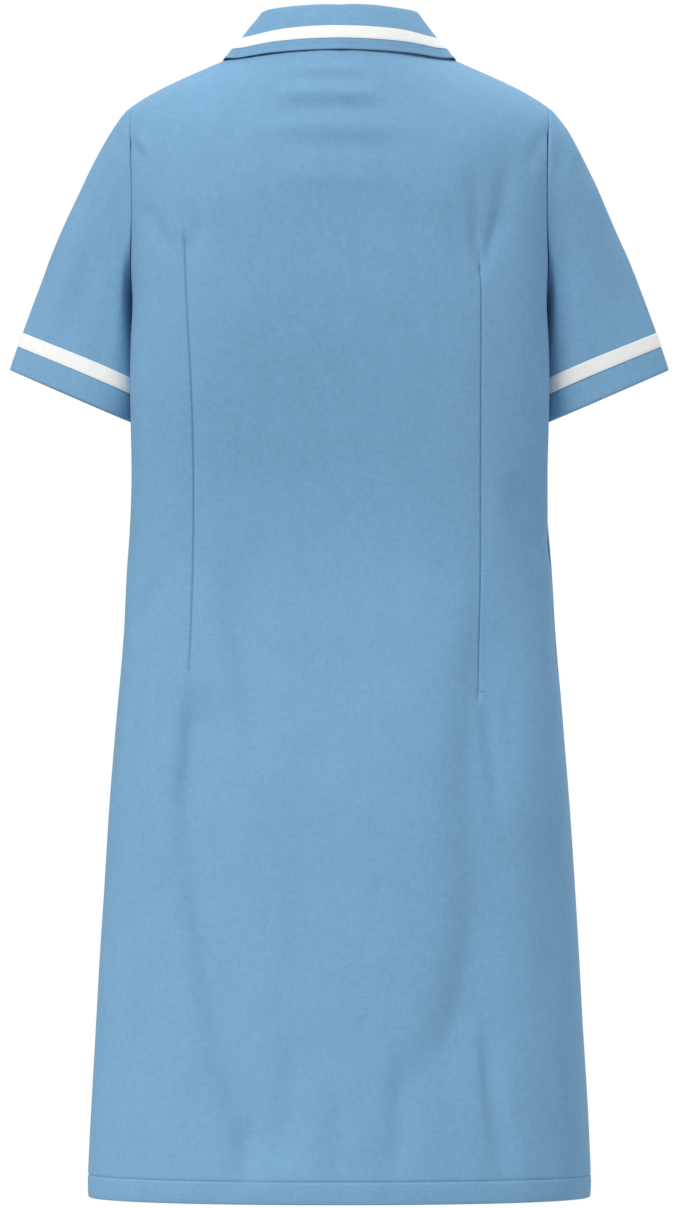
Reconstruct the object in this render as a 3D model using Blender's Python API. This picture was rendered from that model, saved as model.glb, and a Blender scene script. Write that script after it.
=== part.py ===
"""A short-sleeved nurse uniform dress, filled out, hollow, and open at neck, cuffs and hem.

The front faces -Y and the wearer's left is +X. The origin lies between the two inner ends
of the shoulder seams, where the wearer's shoulders hold the dress up. Sizes and tables are
in millimetres, with "drop" the distance below the origin, and meshes are in metres.
Each cloth piece is a grid of points on its outer face, thickened inwards.
"""

from functools import partial
from math import asin, cos, pi, radians, sin

import bmesh
import bpy
import numpy as np
from mathutils import Vector

METRES = 0.001

CLOTH = 1.5
TURNED_HEM = 2.6
TAPE = 1.0
SEAM_GAP = 0.4
STACK_GAP = 0.4

HEM_DROP = 1024.0
HEM_DEPTH = 20.0
HEM_STEP = 1.0
CHEST_DROP = 150.0
UNDERARM_DROP = 232.0

NECK_HALF_WIDTH = 72.0
NAPE_DEPTH = 52.0
THROAT_DEPTH = 60.0
NECK_RIDGE = 20.0
SHOULDER_HALF_WIDTH = 187.0
SHOULDER_DROP = 57.0
SHOULDER_TIP_DROP = 7.0
SHOULDER_SEAM_Y = 2.0
ARMHOLE_DEPTH = 48.0
PRESS_REACH = 25.0

LAP = 15.0
LAP_BLEND = 6.0

DART_DROPS = (183.0, 566.0)
DART_X = 129.0
DART_HALF_WIDTH = 8.0
DART_DEPTH = 1.6
DART_POINT = 0.3
FOLD_ENDS = (0.25, 0.2)

SLEEVE_HEM_CENTRE = (237.0, -1.0, -313.0)
SLEEVE_SLOPE = radians(23.3)
CAP_STEEPER = 0.1
SLEEVE_LEAVE_SHARE = 0.5
SLEEVE_ARRIVE_SHARE = 0.9
SLEEVE_HALF_WIDTH = 61.0
SLEEVE_HALF_DEPTH = 45.0
SLEEVE_HEM_DEPTH = 22.0
TAPE_WIDTH = 12.0
SLEEVE_TAPE_ABOVE_HEM = 22.0
SLEEVE_TAPE_CLEAR = 1.5

COLLAR_SEAT = 0.6
FOLD_RADIUS = 3.2
COLLAR_PARTING = 1.5
COLLAR_TAPE_ABOVE_EDGE = 10.0

BUTTON_COUNT = 8
TOP_BUTTON_DROP = 88.0
LOW_BUTTON_DROP = 760.0
BUTTON_SEAT = 0.6
SLOPE_REACH = 5.0
SHARP_EDGE = radians(40)

BLUE = (0.185, 0.375, 0.56, 1.0)
WHITE = (0.86, 0.85, 0.83, 1.0)
PEARL = (0.80, 0.80, 0.78, 1.0)


def table(names, *rows):
    """Named columns of a table, each as one array."""
    return dict(zip(names.split(), np.array(rows, float).T))


# Level sections from the chest to the hem: the half width, how far the centre back and
# centre front stand from the side seam's plane, how square each half is (2 is an ellipse),
# and how far the side is pressed in below the sleeve.
BODY = table(
    "drop  side  back front back_square front_square press",
    (130, 193, 116, 90, 2.5, 2.5, 0),
    (150, 192, 117, 98, 2.6, 2.5, 0),
    (190, 189, 119, 116, 2.8, 2.6, 5),
    (232, 187, 119, 131, 3.0, 2.7, 14),
    (265, 189, 116, 137, 3.1, 2.8, 19),
    (300, 190, 111, 134, 3.2, 2.8, 21),
    (343, 189.5, 104, 127, 3.2, 2.7, 19),
    (400, 188, 96, 117, 3.0, 2.6, 6),
    (460, 188.5, 94, 112, 2.7, 2.5, 0),
    (530, 192.4, 103, 115, 2.6, 2.4, 0),
    (600, 198.4, 115, 121, 2.5, 2.4, 0),
    (680, 205, 124, 126, 2.4, 2.3, 0),
    (760, 210, 128, 130, 2.3, 2.3, 0),
    (860, 216, 132, 133, 2.25, 2.2, 0),
    (960, 221.6, 136, 137, 2.2, 2.2, 0),
    (1024, 224.4, 138, 139, 2.2, 2.2, 0),
)

# How far the cloth runs level and then sinks as it leaves the shoulder line, as shares of
# its way to the chest: at the shoulders, the nape and the throat.
SHOULDER_LEAVE = np.array([1.1, -0.165])
NAPE_LEAVE = (1.4, 0.0)
THROAT_LEAVE = (0.3, -0.35)
NECK_EASE = 130.0

# The largest folds of the skirt: three points down each one, its half width and its depth.
BACK_FOLDS = (
    # name, (drop, x) at the top, middle and foot, half width, depth
    ("right_hip", (430, -126), (660, -103), (990, -10), 17, 5.0),
    ("left_hip", (550, 133), (760, 128), (1010, 88), 15, 3.5),
    ("small_of_back", (500, 30), (585, 19), (680, 10), 34, 2.0),
)
FRONT_FOLDS = (
    ("right_bust", (300, -92), (560, -108), (985, -84), 18, 3.5),
    ("left_bust", (310, 96), (620, 118), (1010, 132), 17, 4.0),
    ("left_knee", (640, 64), (820, 58), (1015, 40), 14, 2.5),
)

# The collar, round the neck from the centre back (0) to the centre front (180 degrees):
# the height of its stand, how far the stand leans to the neck, how far the fall bulges,
# and its outer edge.
COLLAR = table(
    "turn stand lean bulge edge_x edge_y edge_z",
    (0, 25, 4.0, 2.5, 0, 77.5, -7),
    (30, 28, 4.0, 2.5, 55, 60.5, -9),
    (60, 29.5, 5.5, 0.5, 89, 32.5, -12.5),
    (90, 28, 6.0, -0.5, 103.5, 3, -13.2),
    (115, 25, 3.0, 5.0, 100, -34, -28),
    (145, 17, 1.0, 6.0, 78, -65, -69.5),
    (180, 8, 0.5, 3.0, 43, -87, -117),
)

# Direction in which a sleeve leaves the armhole: at the cap, back, underarm and front.
SLEEVE_START = table(
    "turn x y z",
    (0, 0.72, 0.0, -0.69),
    (45, 0.62, -0.10, -0.78),
    (90, 0.50, -0.40, -0.77),
    (135, 0.50, -0.10, -0.86),
    (180, 0.35, 0.0, -0.94),
    (225, 0.50, 0.10, -0.86),
    (270, 0.50, 0.40, -0.77),
    (315, 0.62, 0.10, -0.78),
    (360, 0.72, 0.0, -0.69),
)

# Button profile, from the rim of its flat back round to the dished face.
BUTTON = table(
    "radius height",
    (6.9, 0.0),
    (7.5, 0.9),
    (7.2, 2.6),
    (5.4, 2.6),
    (4.8, 2.0),
)
BUTTON_SIDES = 16

DOME_STEPS = np.linspace(0, 1, 8)
ARMHOLE_DROPS = (150, 172, 194, 212, 224, 230, 232)
SKIRT_DROPS = tuple(range(262, 1000, 37))
HEM_DROPS = (HEM_DROP - HEM_DEPTH - HEM_STEP, HEM_DROP - HEM_DEPTH, HEM_DROP)
NECK_COLUMNS = 6
SHOULDER_COLUMNS = 9
SLEEVE_COLUMNS = 24
SLEEVE_PLAIN_ROWS = 7


def hermite(start, end, leave, arrive, t):
    """Cubic curve from start to end that leaves and arrives in the given directions."""
    blend = (
        2 * t**3 - 3 * t**2 + 1,
        -2 * t**3 + 3 * t**2,
        t**3 - 2 * t**2 + t,
        t**3 - t**2,
    )
    return blend[0] * start + blend[1] * end + blend[2] * leave + blend[3] * arrive


def smooth(keys, values, at):
    """A smooth curve through the (key, value) points, read at one key or many."""
    keys, values = np.asarray(keys, float), np.asarray(values, float)
    slopes = np.gradient(values, keys)
    i = np.clip(np.searchsorted(keys, at, side="right") - 1, 0, len(keys) - 2)
    step = keys[i + 1] - keys[i]
    t = np.clip((at - keys[i]) / step, 0, 1)
    return hermite(values[i], values[i + 1], slopes[i] * step, slopes[i + 1] * step, t)


def read(source, column, at, key="drop"):
    """One column of a table at the given drops or turns."""
    return smooth(source[key], source[column], at)


def unit(vectors):
    """The same vectors, each one long."""
    return vectors / np.linalg.norm(vectors, axis=-1, keepdims=True)


def ease(t):
    """Smooth step from 0 to 1 as t goes from 0 to 1."""
    t = np.clip(t, 0, 1)
    return t * t * (3 - 2 * t)


class Half:
    """The back or the front half of the body, from its centre line out to the side seam."""

    def __init__(self, name, facing, neck_depth, neck_leave, folds):
        self.name = name
        self.facing = facing
        self.neck_depth = neck_depth
        self.neck_leave = neck_leave
        self.folds = folds

    def shape(self, drop):
        """Half width, centre depth and curve power of the section at this drop."""
        power = 2 / read(BODY, self.name + "_square", drop)
        return read(BODY, "side", drop), read(BODY, self.name, drop), power

    def angle_at(self, x, drop):
        """Angle round the section of the point this far from the centre line."""
        half, _, power = self.shape(drop)
        return np.arcsin((x / half) ** (1 / power))

    def side_angle(self, drop):
        """Angle at which the panel ends: at the armhole, or at the side seam below it."""
        _, depth, power = self.shape(drop)
        fall = np.clip((drop - CHEST_DROP) / (UNDERARM_DROP - CHEST_DROP), 0, 1)
        edge = ARMHOLE_DEPTH * np.sqrt(1 - fall**2)
        return np.arccos((edge / depth) ** (1 / power))

    def section(self, drop, angle):
        """Point of the level section at this drop, this far round from the centre line."""
        half, depth, power = self.shape(drop)
        x = half * np.sin(angle) ** power
        y = depth * np.cos(angle) ** power
        x = x - read(BODY, "press", drop) * np.exp(-((y / PRESS_REACH) ** 2)) * x / half
        return np.array([x, self.facing * y, -drop])

    def beside(self, x, drop):
        """Point of the section at this drop, this far from the centre line."""
        return self.section(drop, self.angle_at(x, drop))

    def column(self, share, strip, drop):
        """Point at this share of the way from the centre strip to the panel's edge."""
        start = self.angle_at(strip, drop) if strip else 0.0
        return self.section(drop, start + share * (self.side_angle(drop) - start))

    def ridge(self, x):
        """Point of the shoulder seam, and of its line carried on over the neck opening."""
        if x < NECK_HALF_WIDTH:
            return np.array([x, SHOULDER_SEAM_Y, NECK_RIDGE * (1 - (x / NECK_HALF_WIDTH) ** 2)])
        along = (x - NECK_HALF_WIDTH) / (SHOULDER_HALF_WIDTH - NECK_HALF_WIDTH)
        drop = (SHOULDER_DROP - SHOULDER_TIP_DROP) * along**0.9 + SHOULDER_TIP_DROP * along**6
        return np.array([x, SHOULDER_SEAM_Y, -drop])

    def dome(self, x, point_at, steps):
        """Points over the shoulder, from the top edge to the chest, in the given steps."""
        top, chest = self.ridge(x), point_at(CHEST_DROP)
        run = np.linalg.norm(chest - top)
        inner = ease(1 - x / NECK_EASE)
        over = SHOULDER_LEAVE + inner * (np.array(self.neck_leave) - SHOULDER_LEAVE)
        leave = run * np.array([0, self.facing * over[0], over[1]])
        arrive = run * unit(point_at(CHEST_DROP + 2) - point_at(CHEST_DROP - 2))
        first = 0.0
        if x < NECK_HALF_WIDTH:
            way = np.linspace(0, 1, 200)
            depth = [self.facing * hermite(top, chest, leave, arrive, t)[1] for t in way]
            inward = cos(asin(x / NECK_HALF_WIDTH))
            cut = self.facing * SHOULDER_SEAM_Y + self.neck_depth * inward
            first = np.interp(cut, depth, way)
        return [hermite(top, chest, leave, arrive, first + (1 - first) * t) for t in steps]

    def rows(self, x, point_at):
        """One column of points from its place on the top edge down to the hem."""
        drops = ARMHOLE_DROPS + SKIRT_DROPS + HEM_DROPS
        return self.dome(x, point_at, DOME_STEPS[:-1]) + [point_at(float(d)) for d in drops]

    def shares(self, strip):
        """The share of each column, with one of them at the neck end of the shoulder."""
        start = self.angle_at(strip, CHEST_DROP) if strip else 0.0
        neck = self.angle_at(NECK_HALF_WIDTH, CHEST_DROP) - start
        neck = neck / (self.side_angle(CHEST_DROP) - start)
        inner = np.linspace(0, neck, NECK_COLUMNS + 1)
        outer = np.linspace(neck, 1, SHOULDER_COLUMNS + 1)
        return inner, outer[1:]

    def points(self, strip=0.0):
        """Grid (row, column) of the half on the +X side, from the centre strip outwards."""
        inner, outer = self.shares(strip)
        first = asin(strip / NECK_HALF_WIDTH)
        chest = [self.column(share, strip, CHEST_DROP)[0] for share in (inner[-1], *outer)]
        columns = []
        for share in inner:
            turn = first + (pi / 2 - first) * share / inner[-1]
            top = NECK_HALF_WIDTH * sin(turn)
            columns.append(self.rows(top, partial(self.column, share, strip)))
        for share, x in zip(outer, chest[1:]):
            along = (x - chest[0]) / (chest[-1] - chest[0])
            top = NECK_HALF_WIDTH + along * (SHOULDER_HALF_WIDTH - NECK_HALF_WIDTH)
            columns.append(self.rows(top, partial(self.column, share, strip)))
        return np.array(columns).transpose(1, 0, 2)

    def strip_points(self, distances):
        """Grid of the columns beside the centre line, at these distances from it."""
        columns = []
        for x in distances:
            column = self.rows(abs(x), partial(self.beside, abs(x)))
            columns.append([(x, y, z) for _, y, z in column])
        return np.array(columns).transpose(1, 0, 2)

    def fold_depth(self, points):
        """How far each point lies below the plain form, in the skirt's largest folds."""
        x, drop = points[..., 0], -points[..., 2]
        depth = np.zeros_like(x)
        for _, top, middle, foot, reach, sink in self.folds:
            path = smooth(*np.array([top, middle, foot]).T, drop)
            along = (drop - top[0]) / (foot[0] - top[0])
            fade = ease(along / FOLD_ENDS[0]) * ease((1 - along) / FOLD_ENDS[1])
            depth += sink * fade * np.exp(-(((x - path) / reach) ** 2))
        return depth


BACK = Half("back", 1, NAPE_DEPTH, NAPE_LEAVE, BACK_FOLDS)
FRONT = Half("front", -1, THROAT_DEPTH, THROAT_LEAVE, FRONT_FOLDS)


def normals(grid, closed=False):
    """Unit normal at each point of a grid, turned away from the piece's own axis."""
    if closed:
        wide = np.concatenate([grid[:, -1:], grid, grid[:, :1]], axis=1)
        across = (wide[:, 2:] - wide[:, :-2]) / 2
    else:
        across = np.gradient(grid, axis=1)
    down = np.gradient(grid, axis=0)
    return unit(np.cross(across, down))


def outward(grid, found, centre):
    """The normals, all turned over if most of them point to the centre."""
    if np.sum(found * (grid - centre)) < 0:
        return -found
    return found


def without(axis, vectors):
    """The same directions with one axis taken out, so that a seam's faces stay apart."""
    kept = vectors.copy()
    kept[..., axis] = 0
    return unit(kept)


def principled(name, colour, roughness):
    """Plain material of one finish."""
    material = bpy.data.materials.new(name)
    material.use_nodes = True
    shader = material.node_tree.nodes["Principled BSDF"]
    shader.inputs["Base Color"].default_value = colour
    shader.inputs["Roughness"].default_value = roughness
    shader.inputs["Metallic"].default_value = 0.0
    material.diffuse_color = colour
    return material


def add_object(name, mesh, material):
    """Put a finished mesh in the scene, shaded smooth but for its sharp edges."""
    shell = bmesh.new()
    shell.from_mesh(mesh)
    bmesh.ops.recalc_face_normals(shell, faces=shell.faces)
    shell.to_mesh(mesh)
    shell.free()
    mesh.shade_smooth()
    mesh.set_sharp_from_angle(angle=SHARP_EDGE)
    mesh.materials.append(material)
    piece = bpy.data.objects.new(name, mesh)
    bpy.context.scene.collection.objects.link(piece)
    return piece


def add_wall(name, outer, inner, material, closed=False):
    """Closed solid between two grids of the same size, joined round their edges."""
    rows, columns = outer.shape[:2]
    size = rows * columns
    last = columns if closed else columns - 1
    faces = []
    for r in range(rows - 1):
        for c in range(last):
            n = (c + 1) % columns
            corner = [r * columns + c, r * columns + n, (r + 1) * columns + n, (r + 1) * columns + c]
            faces += [(corner[0], corner[1], corner[2]), (corner[0], corner[2], corner[3])]
            low = [size + k for k in corner]
            faces += [(low[2], low[1], low[0]), (low[3], low[2], low[0])]
    for r, flip in ((0, False), (rows - 1, True)):
        for c in range(last):
            a, b = r * columns + c, r * columns + (c + 1) % columns
            edge = (a, size + a, size + b, b)
            faces.append(edge[::-1] if flip else edge)
    if not closed:
        for c, flip in ((0, True), (columns - 1, False)):
            for r in range(rows - 1):
                a, b = r * columns + c, (r + 1) * columns + c
                edge = (a, size + a, size + b, b)
                faces.append(edge[::-1] if flip else edge)
    points = np.concatenate([outer.reshape(-1, 3), inner.reshape(-1, 3)]) * METRES
    mesh = bpy.data.meshes.new(name)
    mesh.from_pydata(points.tolist(), [], faces)
    return add_object(name, mesh, material)


def row_thickness(rows):
    """Wall of each row of a body panel, doubled in the turned hem."""
    wall = np.full(rows, CLOTH)
    wall[-2:] = TURNED_HEM
    return wall[:, None, None]


def add_panel(name, half, grid, material, lap_side=None):
    """One body panel: folded, thickened, and held a seam's gap from its neighbours."""
    found = outward(grid, normals(grid), np.array([0, 0, -HEM_DROP / 2]))
    wall = row_thickness(len(grid))
    sink = half.fold_depth(grid)[..., None]
    if half is BACK:
        sink = sink + dart_depth(grid)[..., None]
    if lap_side:
        under = ease((LAP + LAP_BLEND - grid[..., :1] * lap_side) / LAP_BLEND)
        sink = sink + (wall + STACK_GAP) * under
    outer = grid - found * sink
    outer[..., 1] += half.facing * SEAM_GAP / 2
    into = found.copy()
    chest = len(DOME_STEPS) + len(ARMHOLE_DROPS) - 2
    into[0] = np.where(np.abs(grid[0, :, :1]) >= NECK_HALF_WIDTH - 1, without(1, into[0]), into[0])
    for edge in (0, -1):
        if abs(grid[-1, edge, 0]) > 2 * LAP:
            into[chest:, edge] = without(1, into[chest:, edge])
        else:
            into[:, edge] = without(0, into[:, edge])
    return add_wall(name, outer, outer - into * wall, material)


def dart_depth(points):
    """The pinch of the two double-pointed back darts, deepest between their points."""
    x, drop = np.abs(points[..., 0]), -points[..., 2]
    along = (drop - DART_DROPS[0]) / (DART_DROPS[1] - DART_DROPS[0])
    fade = ease(along / DART_POINT) * ease((1 - along) / DART_POINT)
    return DART_DEPTH * fade * np.exp(-(((x - DART_X) / DART_HALF_WIDTH) ** 2))


def mirrored(grid):
    """The same grid on the wearer's other side."""
    return grid * np.array([-1, 1, 1])


def armhole_loop():
    """Points round the left armhole, from the shoulder by the back to the underarm and up."""
    reach = UNDERARM_DROP - CHEST_DROP
    halves = []
    for half in (BACK, FRONT):
        edge = partial(half.column, 1.0, 0.0)
        upper = half.dome(SHOULDER_HALF_WIDTH, edge, np.linspace(0, 1, 20))
        turns = np.linspace(0, pi / 2, 24)[1:]
        line = np.array(upper + [edge(CHEST_DROP + reach * sin(turn)) for turn in turns])
        steps = np.linalg.norm(np.diff(line, axis=0), axis=1)
        length = np.concatenate([[0], np.cumsum(steps)]) / steps.sum()
        even = np.linspace(0, 1, SLEEVE_COLUMNS // 2 + 1)
        halves.append(np.array([np.interp(even, length, line[:, k]) for k in range(3)]).T)
    back, front = halves
    return np.concatenate([back, front[-2:0:-1]])


def sleeve_grid(rows):
    """Grid (row, column) of the left sleeve's outer face, from the armhole to its hem."""
    start = armhole_loop() + np.array([SEAM_GAP, 0, 0])
    turns = np.arange(SLEEVE_COLUMNS) * 2 * pi / SLEEVE_COLUMNS
    across = np.array([cos(SLEEVE_SLOPE), 0, sin(SLEEVE_SLOPE)])
    axis = np.array([sin(SLEEVE_SLOPE), 0, -cos(SLEEVE_SLOPE)])
    grid = np.zeros((len(rows), SLEEVE_COLUMNS, 3))
    for c, turn in enumerate(turns):
        ring = SLEEVE_HALF_WIDTH * cos(turn) * across
        ring = ring + np.array([0, SLEEVE_HALF_DEPTH * sin(turn), 0])
        end = np.array(SLEEVE_HEM_CENTRE) + ring
        run = np.linalg.norm(end - start[c])
        degrees = turn * 180 / pi
        leave = unit(np.array([read(SLEEVE_START, k, degrees, "turn") for k in "xyz"]))
        arrive = unit(axis - across * CAP_STEEPER * (1 + cos(turn)) / 2)
        leave, arrive = leave * run * SLEEVE_LEAVE_SHARE, arrive * run * SLEEVE_ARRIVE_SHARE
        for r, t in enumerate(rows(run)):
            grid[r, c] = hermite(start[c], end, leave, arrive, t)
    return grid


class SleeveRows:
    """Shares of the way down a sleeve, with rows at its tape's edges and its turned hem."""

    def __init__(self, plain):
        self.plain = plain

    def __len__(self):
        return self.plain + 5

    def __call__(self, run):
        tape_top = 1 - (SLEEVE_TAPE_ABOVE_HEM + TAPE_WIDTH) / run
        tape_foot = 1 - (SLEEVE_TAPE_ABOVE_HEM + SLEEVE_TAPE_CLEAR) / run
        upper = np.linspace(0, tape_top, self.plain + 1)
        turned = 1 - SLEEVE_HEM_DEPTH / run
        step = HEM_STEP / 2 / run
        return [*upper, tape_foot, turned - step, turned + step, 1.0]


def add_sleeve(side, fabric, tape):
    """One sleeve and the tape round it, in the wearer's left or right armhole."""
    grid = sleeve_grid(SleeveRows(SLEEVE_PLAIN_ROWS))
    centre = grid.mean(axis=1, keepdims=True)
    found = outward(grid, normals(grid, closed=True), centre)
    into = found.copy()
    into[0, :, 0] = np.minimum(into[0, :, 0], 0)
    into[0] = unit(into[0])
    wall = np.full(len(grid), CLOTH)
    wall[-2:] = TURNED_HEM
    inner = grid - into * wall[:, None, None]
    band = slice(SLEEVE_PLAIN_ROWS, SLEEVE_PLAIN_ROWS + 2)
    low = grid[band] + found[band] * STACK_GAP
    high = low + found[band] * TAPE
    if side == "right":
        grid, inner, low, high = (mirrored(each) for each in (grid, inner, low, high))
    add_wall("sleeve_" + side, grid, inner, fabric, closed=True)
    add_wall("sleeve_tape_" + side, high, low, tape, closed=True)


def neckline():
    """Turn and point of each body column on the left neckline, from back to front."""
    back = BACK.points()[0, : NECK_COLUMNS + 1]
    front = FRONT.points(strip=LAP)[0, : NECK_COLUMNS + 1]
    middle = FRONT.strip_points((0.0,))[0, 0]
    end = middle + (front[0] - middle) * COLLAR_PARTING / LAP
    points = [*back, *front[-2::-1], end]
    turns = [asin(min(point[0] / NECK_HALF_WIDTH, 1)) for point in points]
    return [t if k < len(back) else pi - t for k, t in enumerate(turns)], points


def collar_section(turn, seam):
    """Outer face of the collar at one turn: up the stand, over the fold, down to the edge."""
    degrees = turn * 180 / pi
    stand, lean, bulge, *edge = (
        read(COLLAR, key, degrees, "turn")
        for key in ("stand", "lean", "bulge", "edge_x", "edge_y", "edge_z")
    )
    out = unit(np.array([seam[0], seam[1] - SHOULDER_SEAM_Y, 0]))
    up = np.array([0, 0, 1.0])
    foot = seam + up * COLLAR_SEAT - out * CLOTH
    middle = foot + up * (stand - FOLD_RADIUS) - out * (lean - FOLD_RADIUS)
    fall = unit(edge - middle)
    face = unit(np.cross(np.cross(fall, up), fall))
    arc = [-out, unit(up - out), up, unit(up + face)]
    points = [foot, (foot + middle - out * FOLD_RADIUS) / 2]
    points += [middle + FOLD_RADIUS * direction for direction in arc]
    start = middle + FOLD_RADIUS * face
    length = np.linalg.norm(edge - start)
    tape_foot = COLLAR_TAPE_ABOVE_EDGE / length
    tape_top = (COLLAR_TAPE_ABOVE_EDGE + TAPE_WIDTH) / length
    for share in (0, (1 - tape_top) / 2, 1 - tape_top, 1 - tape_foot, 1):
        points.append(start + (edge - start) * share + face * bulge * 4 * share * (1 - share))
    return points


def add_collar(fabric, tape):
    """The one-piece collar, with a tape laid along its fall."""
    left = np.array([collar_section(turn, seam) for turn, seam in zip(*neckline())])
    grid = np.concatenate([mirrored(left)[:0:-1], left]).transpose(1, 0, 2)
    found = normals(grid)
    if found[-1, len(left) - 1, 1] < 0:
        found = -found
    into = found.copy()
    into[0] = without(2, into[0])
    add_wall("collar", grid, grid - into * CLOTH, fabric)
    band = slice(len(grid) - 3, len(grid) - 1)
    low = grid[band] + found[band] * STACK_GAP
    add_wall("collar_tape", low + found[band] * TAPE, low, tape)


def add_body(fabric):
    """The back in one panel, and the two fronts, of which the right laps over the left."""
    back = BACK.points()
    add_panel("back", BACK, np.concatenate([mirrored(back)[:, :0:-1], back], axis=1), fabric)
    side = FRONT.points(strip=LAP)
    left = np.concatenate([FRONT.strip_points((-LAP, 0.0)), side], axis=1)
    add_panel("front_left", FRONT, left, fabric, lap_side=1)
    add_panel("front_right", FRONT, mirrored(left), fabric)


def add_buttons(material):
    """Flat buttons down the centre front, seated on the right front's outer face."""
    rings = len(BUTTON["radius"])
    turns = np.arange(BUTTON_SIDES) * 2 * pi / BUTTON_SIDES
    points = [
        (radius * cos(turn), radius * sin(turn), height)
        for radius, height in zip(BUTTON["radius"], BUTTON["height"])
        for turn in turns
    ]
    faces = [
        (r * BUTTON_SIDES + c, r * BUTTON_SIDES + n, (r + 1) * BUTTON_SIDES + n, (r + 1) * BUTTON_SIDES + c)
        for r in range(rings - 1)
        for c, n in ((c, (c + 1) % BUTTON_SIDES) for c in range(BUTTON_SIDES))
    ]
    faces.append(tuple(range(BUTTON_SIDES))[::-1])
    faces.append(tuple(range((rings - 1) * BUTTON_SIDES, rings * BUTTON_SIDES)))
    for k, drop in enumerate(np.linspace(TOP_BUTTON_DROP, LOW_BUTTON_DROP, BUTTON_COUNT)):
        seat, facing = front_seat(drop)
        mesh = bpy.data.meshes.new(f"button_{k + 1}")
        mesh.from_pydata((np.array(points) * METRES).tolist(), [], faces)
        button = add_object(f"button_{k + 1}", mesh, material)
        button.location = Vector(seat + facing * BUTTON_SEAT) * METRES
        button.rotation_euler = Vector(facing).to_track_quat("Z", "Y").to_euler()


def front_seat(drop):
    """Point of the centre front at this drop, and the direction that it faces."""
    column = np.array(FRONT.rows(0.0, partial(FRONT.beside, 0.0)))
    drops = -column[:, 2]
    y = np.interp(drop, drops, column[:, 1]) - SEAM_GAP / 2
    ends = np.interp([drop - SLOPE_REACH, drop + SLOPE_REACH], drops, column[:, 1])
    return np.array([0, y, -drop]), unit(np.array([0, -2 * SLOPE_REACH, ends[0] - ends[1]]))


def main():
    for old in list(bpy.data.objects):
        bpy.data.objects.remove(old, do_unlink=True)
    fabric = principled("blue_fabric", BLUE, 0.85)
    tape = principled("white_tape", WHITE, 0.7)
    pearl = principled("button_plastic", PEARL, 0.35)
    add_body(fabric)
    add_collar(fabric, tape)
    for side in ("left", "right"):
        add_sleeve(side, fabric, tape)
    add_buttons(pearl)


main()
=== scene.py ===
"""The looks of a short-sleeved nurse uniform dress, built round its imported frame.

The front faces -Y and the wearer's left is +X. Sizes and tables are in millimetres, with
"drop" the distance below the origin, and meshes are in metres. Each cloth piece is a thin
shell on the outer face of its solid, with the seams, creases and sewing that the solid lacks.
"""

import logging
from dataclasses import dataclass
from enum import Enum
from functools import partial
from math import cos, pi, radians, sin
from typing import Callable, ClassVar

import bpy
import numpy as np
from bpy.types import ID, Material, Mesh, Node, NodeOutputs, NodeSocket, NodeTree, Object
from mathutils import Matrix, Vector

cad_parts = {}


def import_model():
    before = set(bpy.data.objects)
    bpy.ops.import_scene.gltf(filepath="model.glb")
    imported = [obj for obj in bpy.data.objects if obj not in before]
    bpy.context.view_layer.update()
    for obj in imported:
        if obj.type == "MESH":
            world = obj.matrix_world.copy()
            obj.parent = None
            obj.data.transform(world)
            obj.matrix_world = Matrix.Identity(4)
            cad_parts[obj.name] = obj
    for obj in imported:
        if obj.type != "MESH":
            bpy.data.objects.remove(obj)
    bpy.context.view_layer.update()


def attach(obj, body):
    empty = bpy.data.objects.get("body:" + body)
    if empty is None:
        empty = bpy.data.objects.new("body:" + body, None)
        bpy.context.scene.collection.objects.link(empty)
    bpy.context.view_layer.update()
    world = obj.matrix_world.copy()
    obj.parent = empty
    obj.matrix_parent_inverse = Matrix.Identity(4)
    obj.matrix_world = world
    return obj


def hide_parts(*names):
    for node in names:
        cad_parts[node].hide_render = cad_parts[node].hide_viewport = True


Array = np.ndarray
Point = tuple[float, float]
Point3 = tuple[float, float, float]

LOG = logging.getLogger("dress")
METRES = 0.001

# The plain form: where its edges and its landmarks are.
HEM_DROP = 1024.0
CHEST_DROP = 150.0
UNDERARM_DROP = 232.0
NECK_HALF_WIDTH = 72.0
NECK_RIDGE = 20.0
SHOULDER_HALF_WIDTH = 187.0
SHOULDER_DROP = 57.0
SHOULDER_TIP_DROP = 7.0
SHOULDER_SEAM_Y = 2.0
ARMHOLE_DEPTH = 48.0
PRESS_REACH = 25.0
NECK_EASE = 130.0
SHOULDER_BOW = 0.9
SHOULDER_TIP_POWER = 6
SHOULDER_LEAVE = np.array([1.1, -0.165])
CHEST_STEP = 2.0
DOME_SAMPLES = 200

# The cloth: its thickness, the lap of the fronts, the gaps at the armhole and between the
# back and the fronts, and how stitches and hems show in it.
CLOTH = 0.8
LAP = 15.0
LAP_BLEND = 6.0
LAP_SINK = 1.8
SEAM_GAP = 0.2
BODY_GAP = 0.06
STITCH_GROOVE = 0.9
HEM_STEP = 1.2
TAPE_LIFT = 0.05
TACK_HALF_LENGTH = 1.3
TACK_LIFT = 0.3
ONE_STITCH = 0.01
CLOTH_CORNER = radians(50)


class Side(Enum):
    """The wearer's side that a piece is on, with the sign of X there."""

    LEFT = 1
    RIGHT = -1


def hermite(start: Array, end: Array, leave: Array, arrive: Array, t: Array) -> Array:
    """Cubic curve from start to end that leaves and arrives in the given directions.

    Args:
        start: First point or value.
        end: Last point or value.
        leave: Direction at the start, as long as the way.
        arrive: Direction at the end, as long as the way.
        t: Share of the way, from 0 to 1.

    Returns:
        The points or values at those shares.
    """
    blend = (2 * t**3 - 3 * t**2 + 1, -2 * t**3 + 3 * t**2, t**3 - 2 * t**2 + t, t**3 - t**2)
    return blend[0] * start + blend[1] * end + blend[2] * leave + blend[3] * arrive


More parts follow.
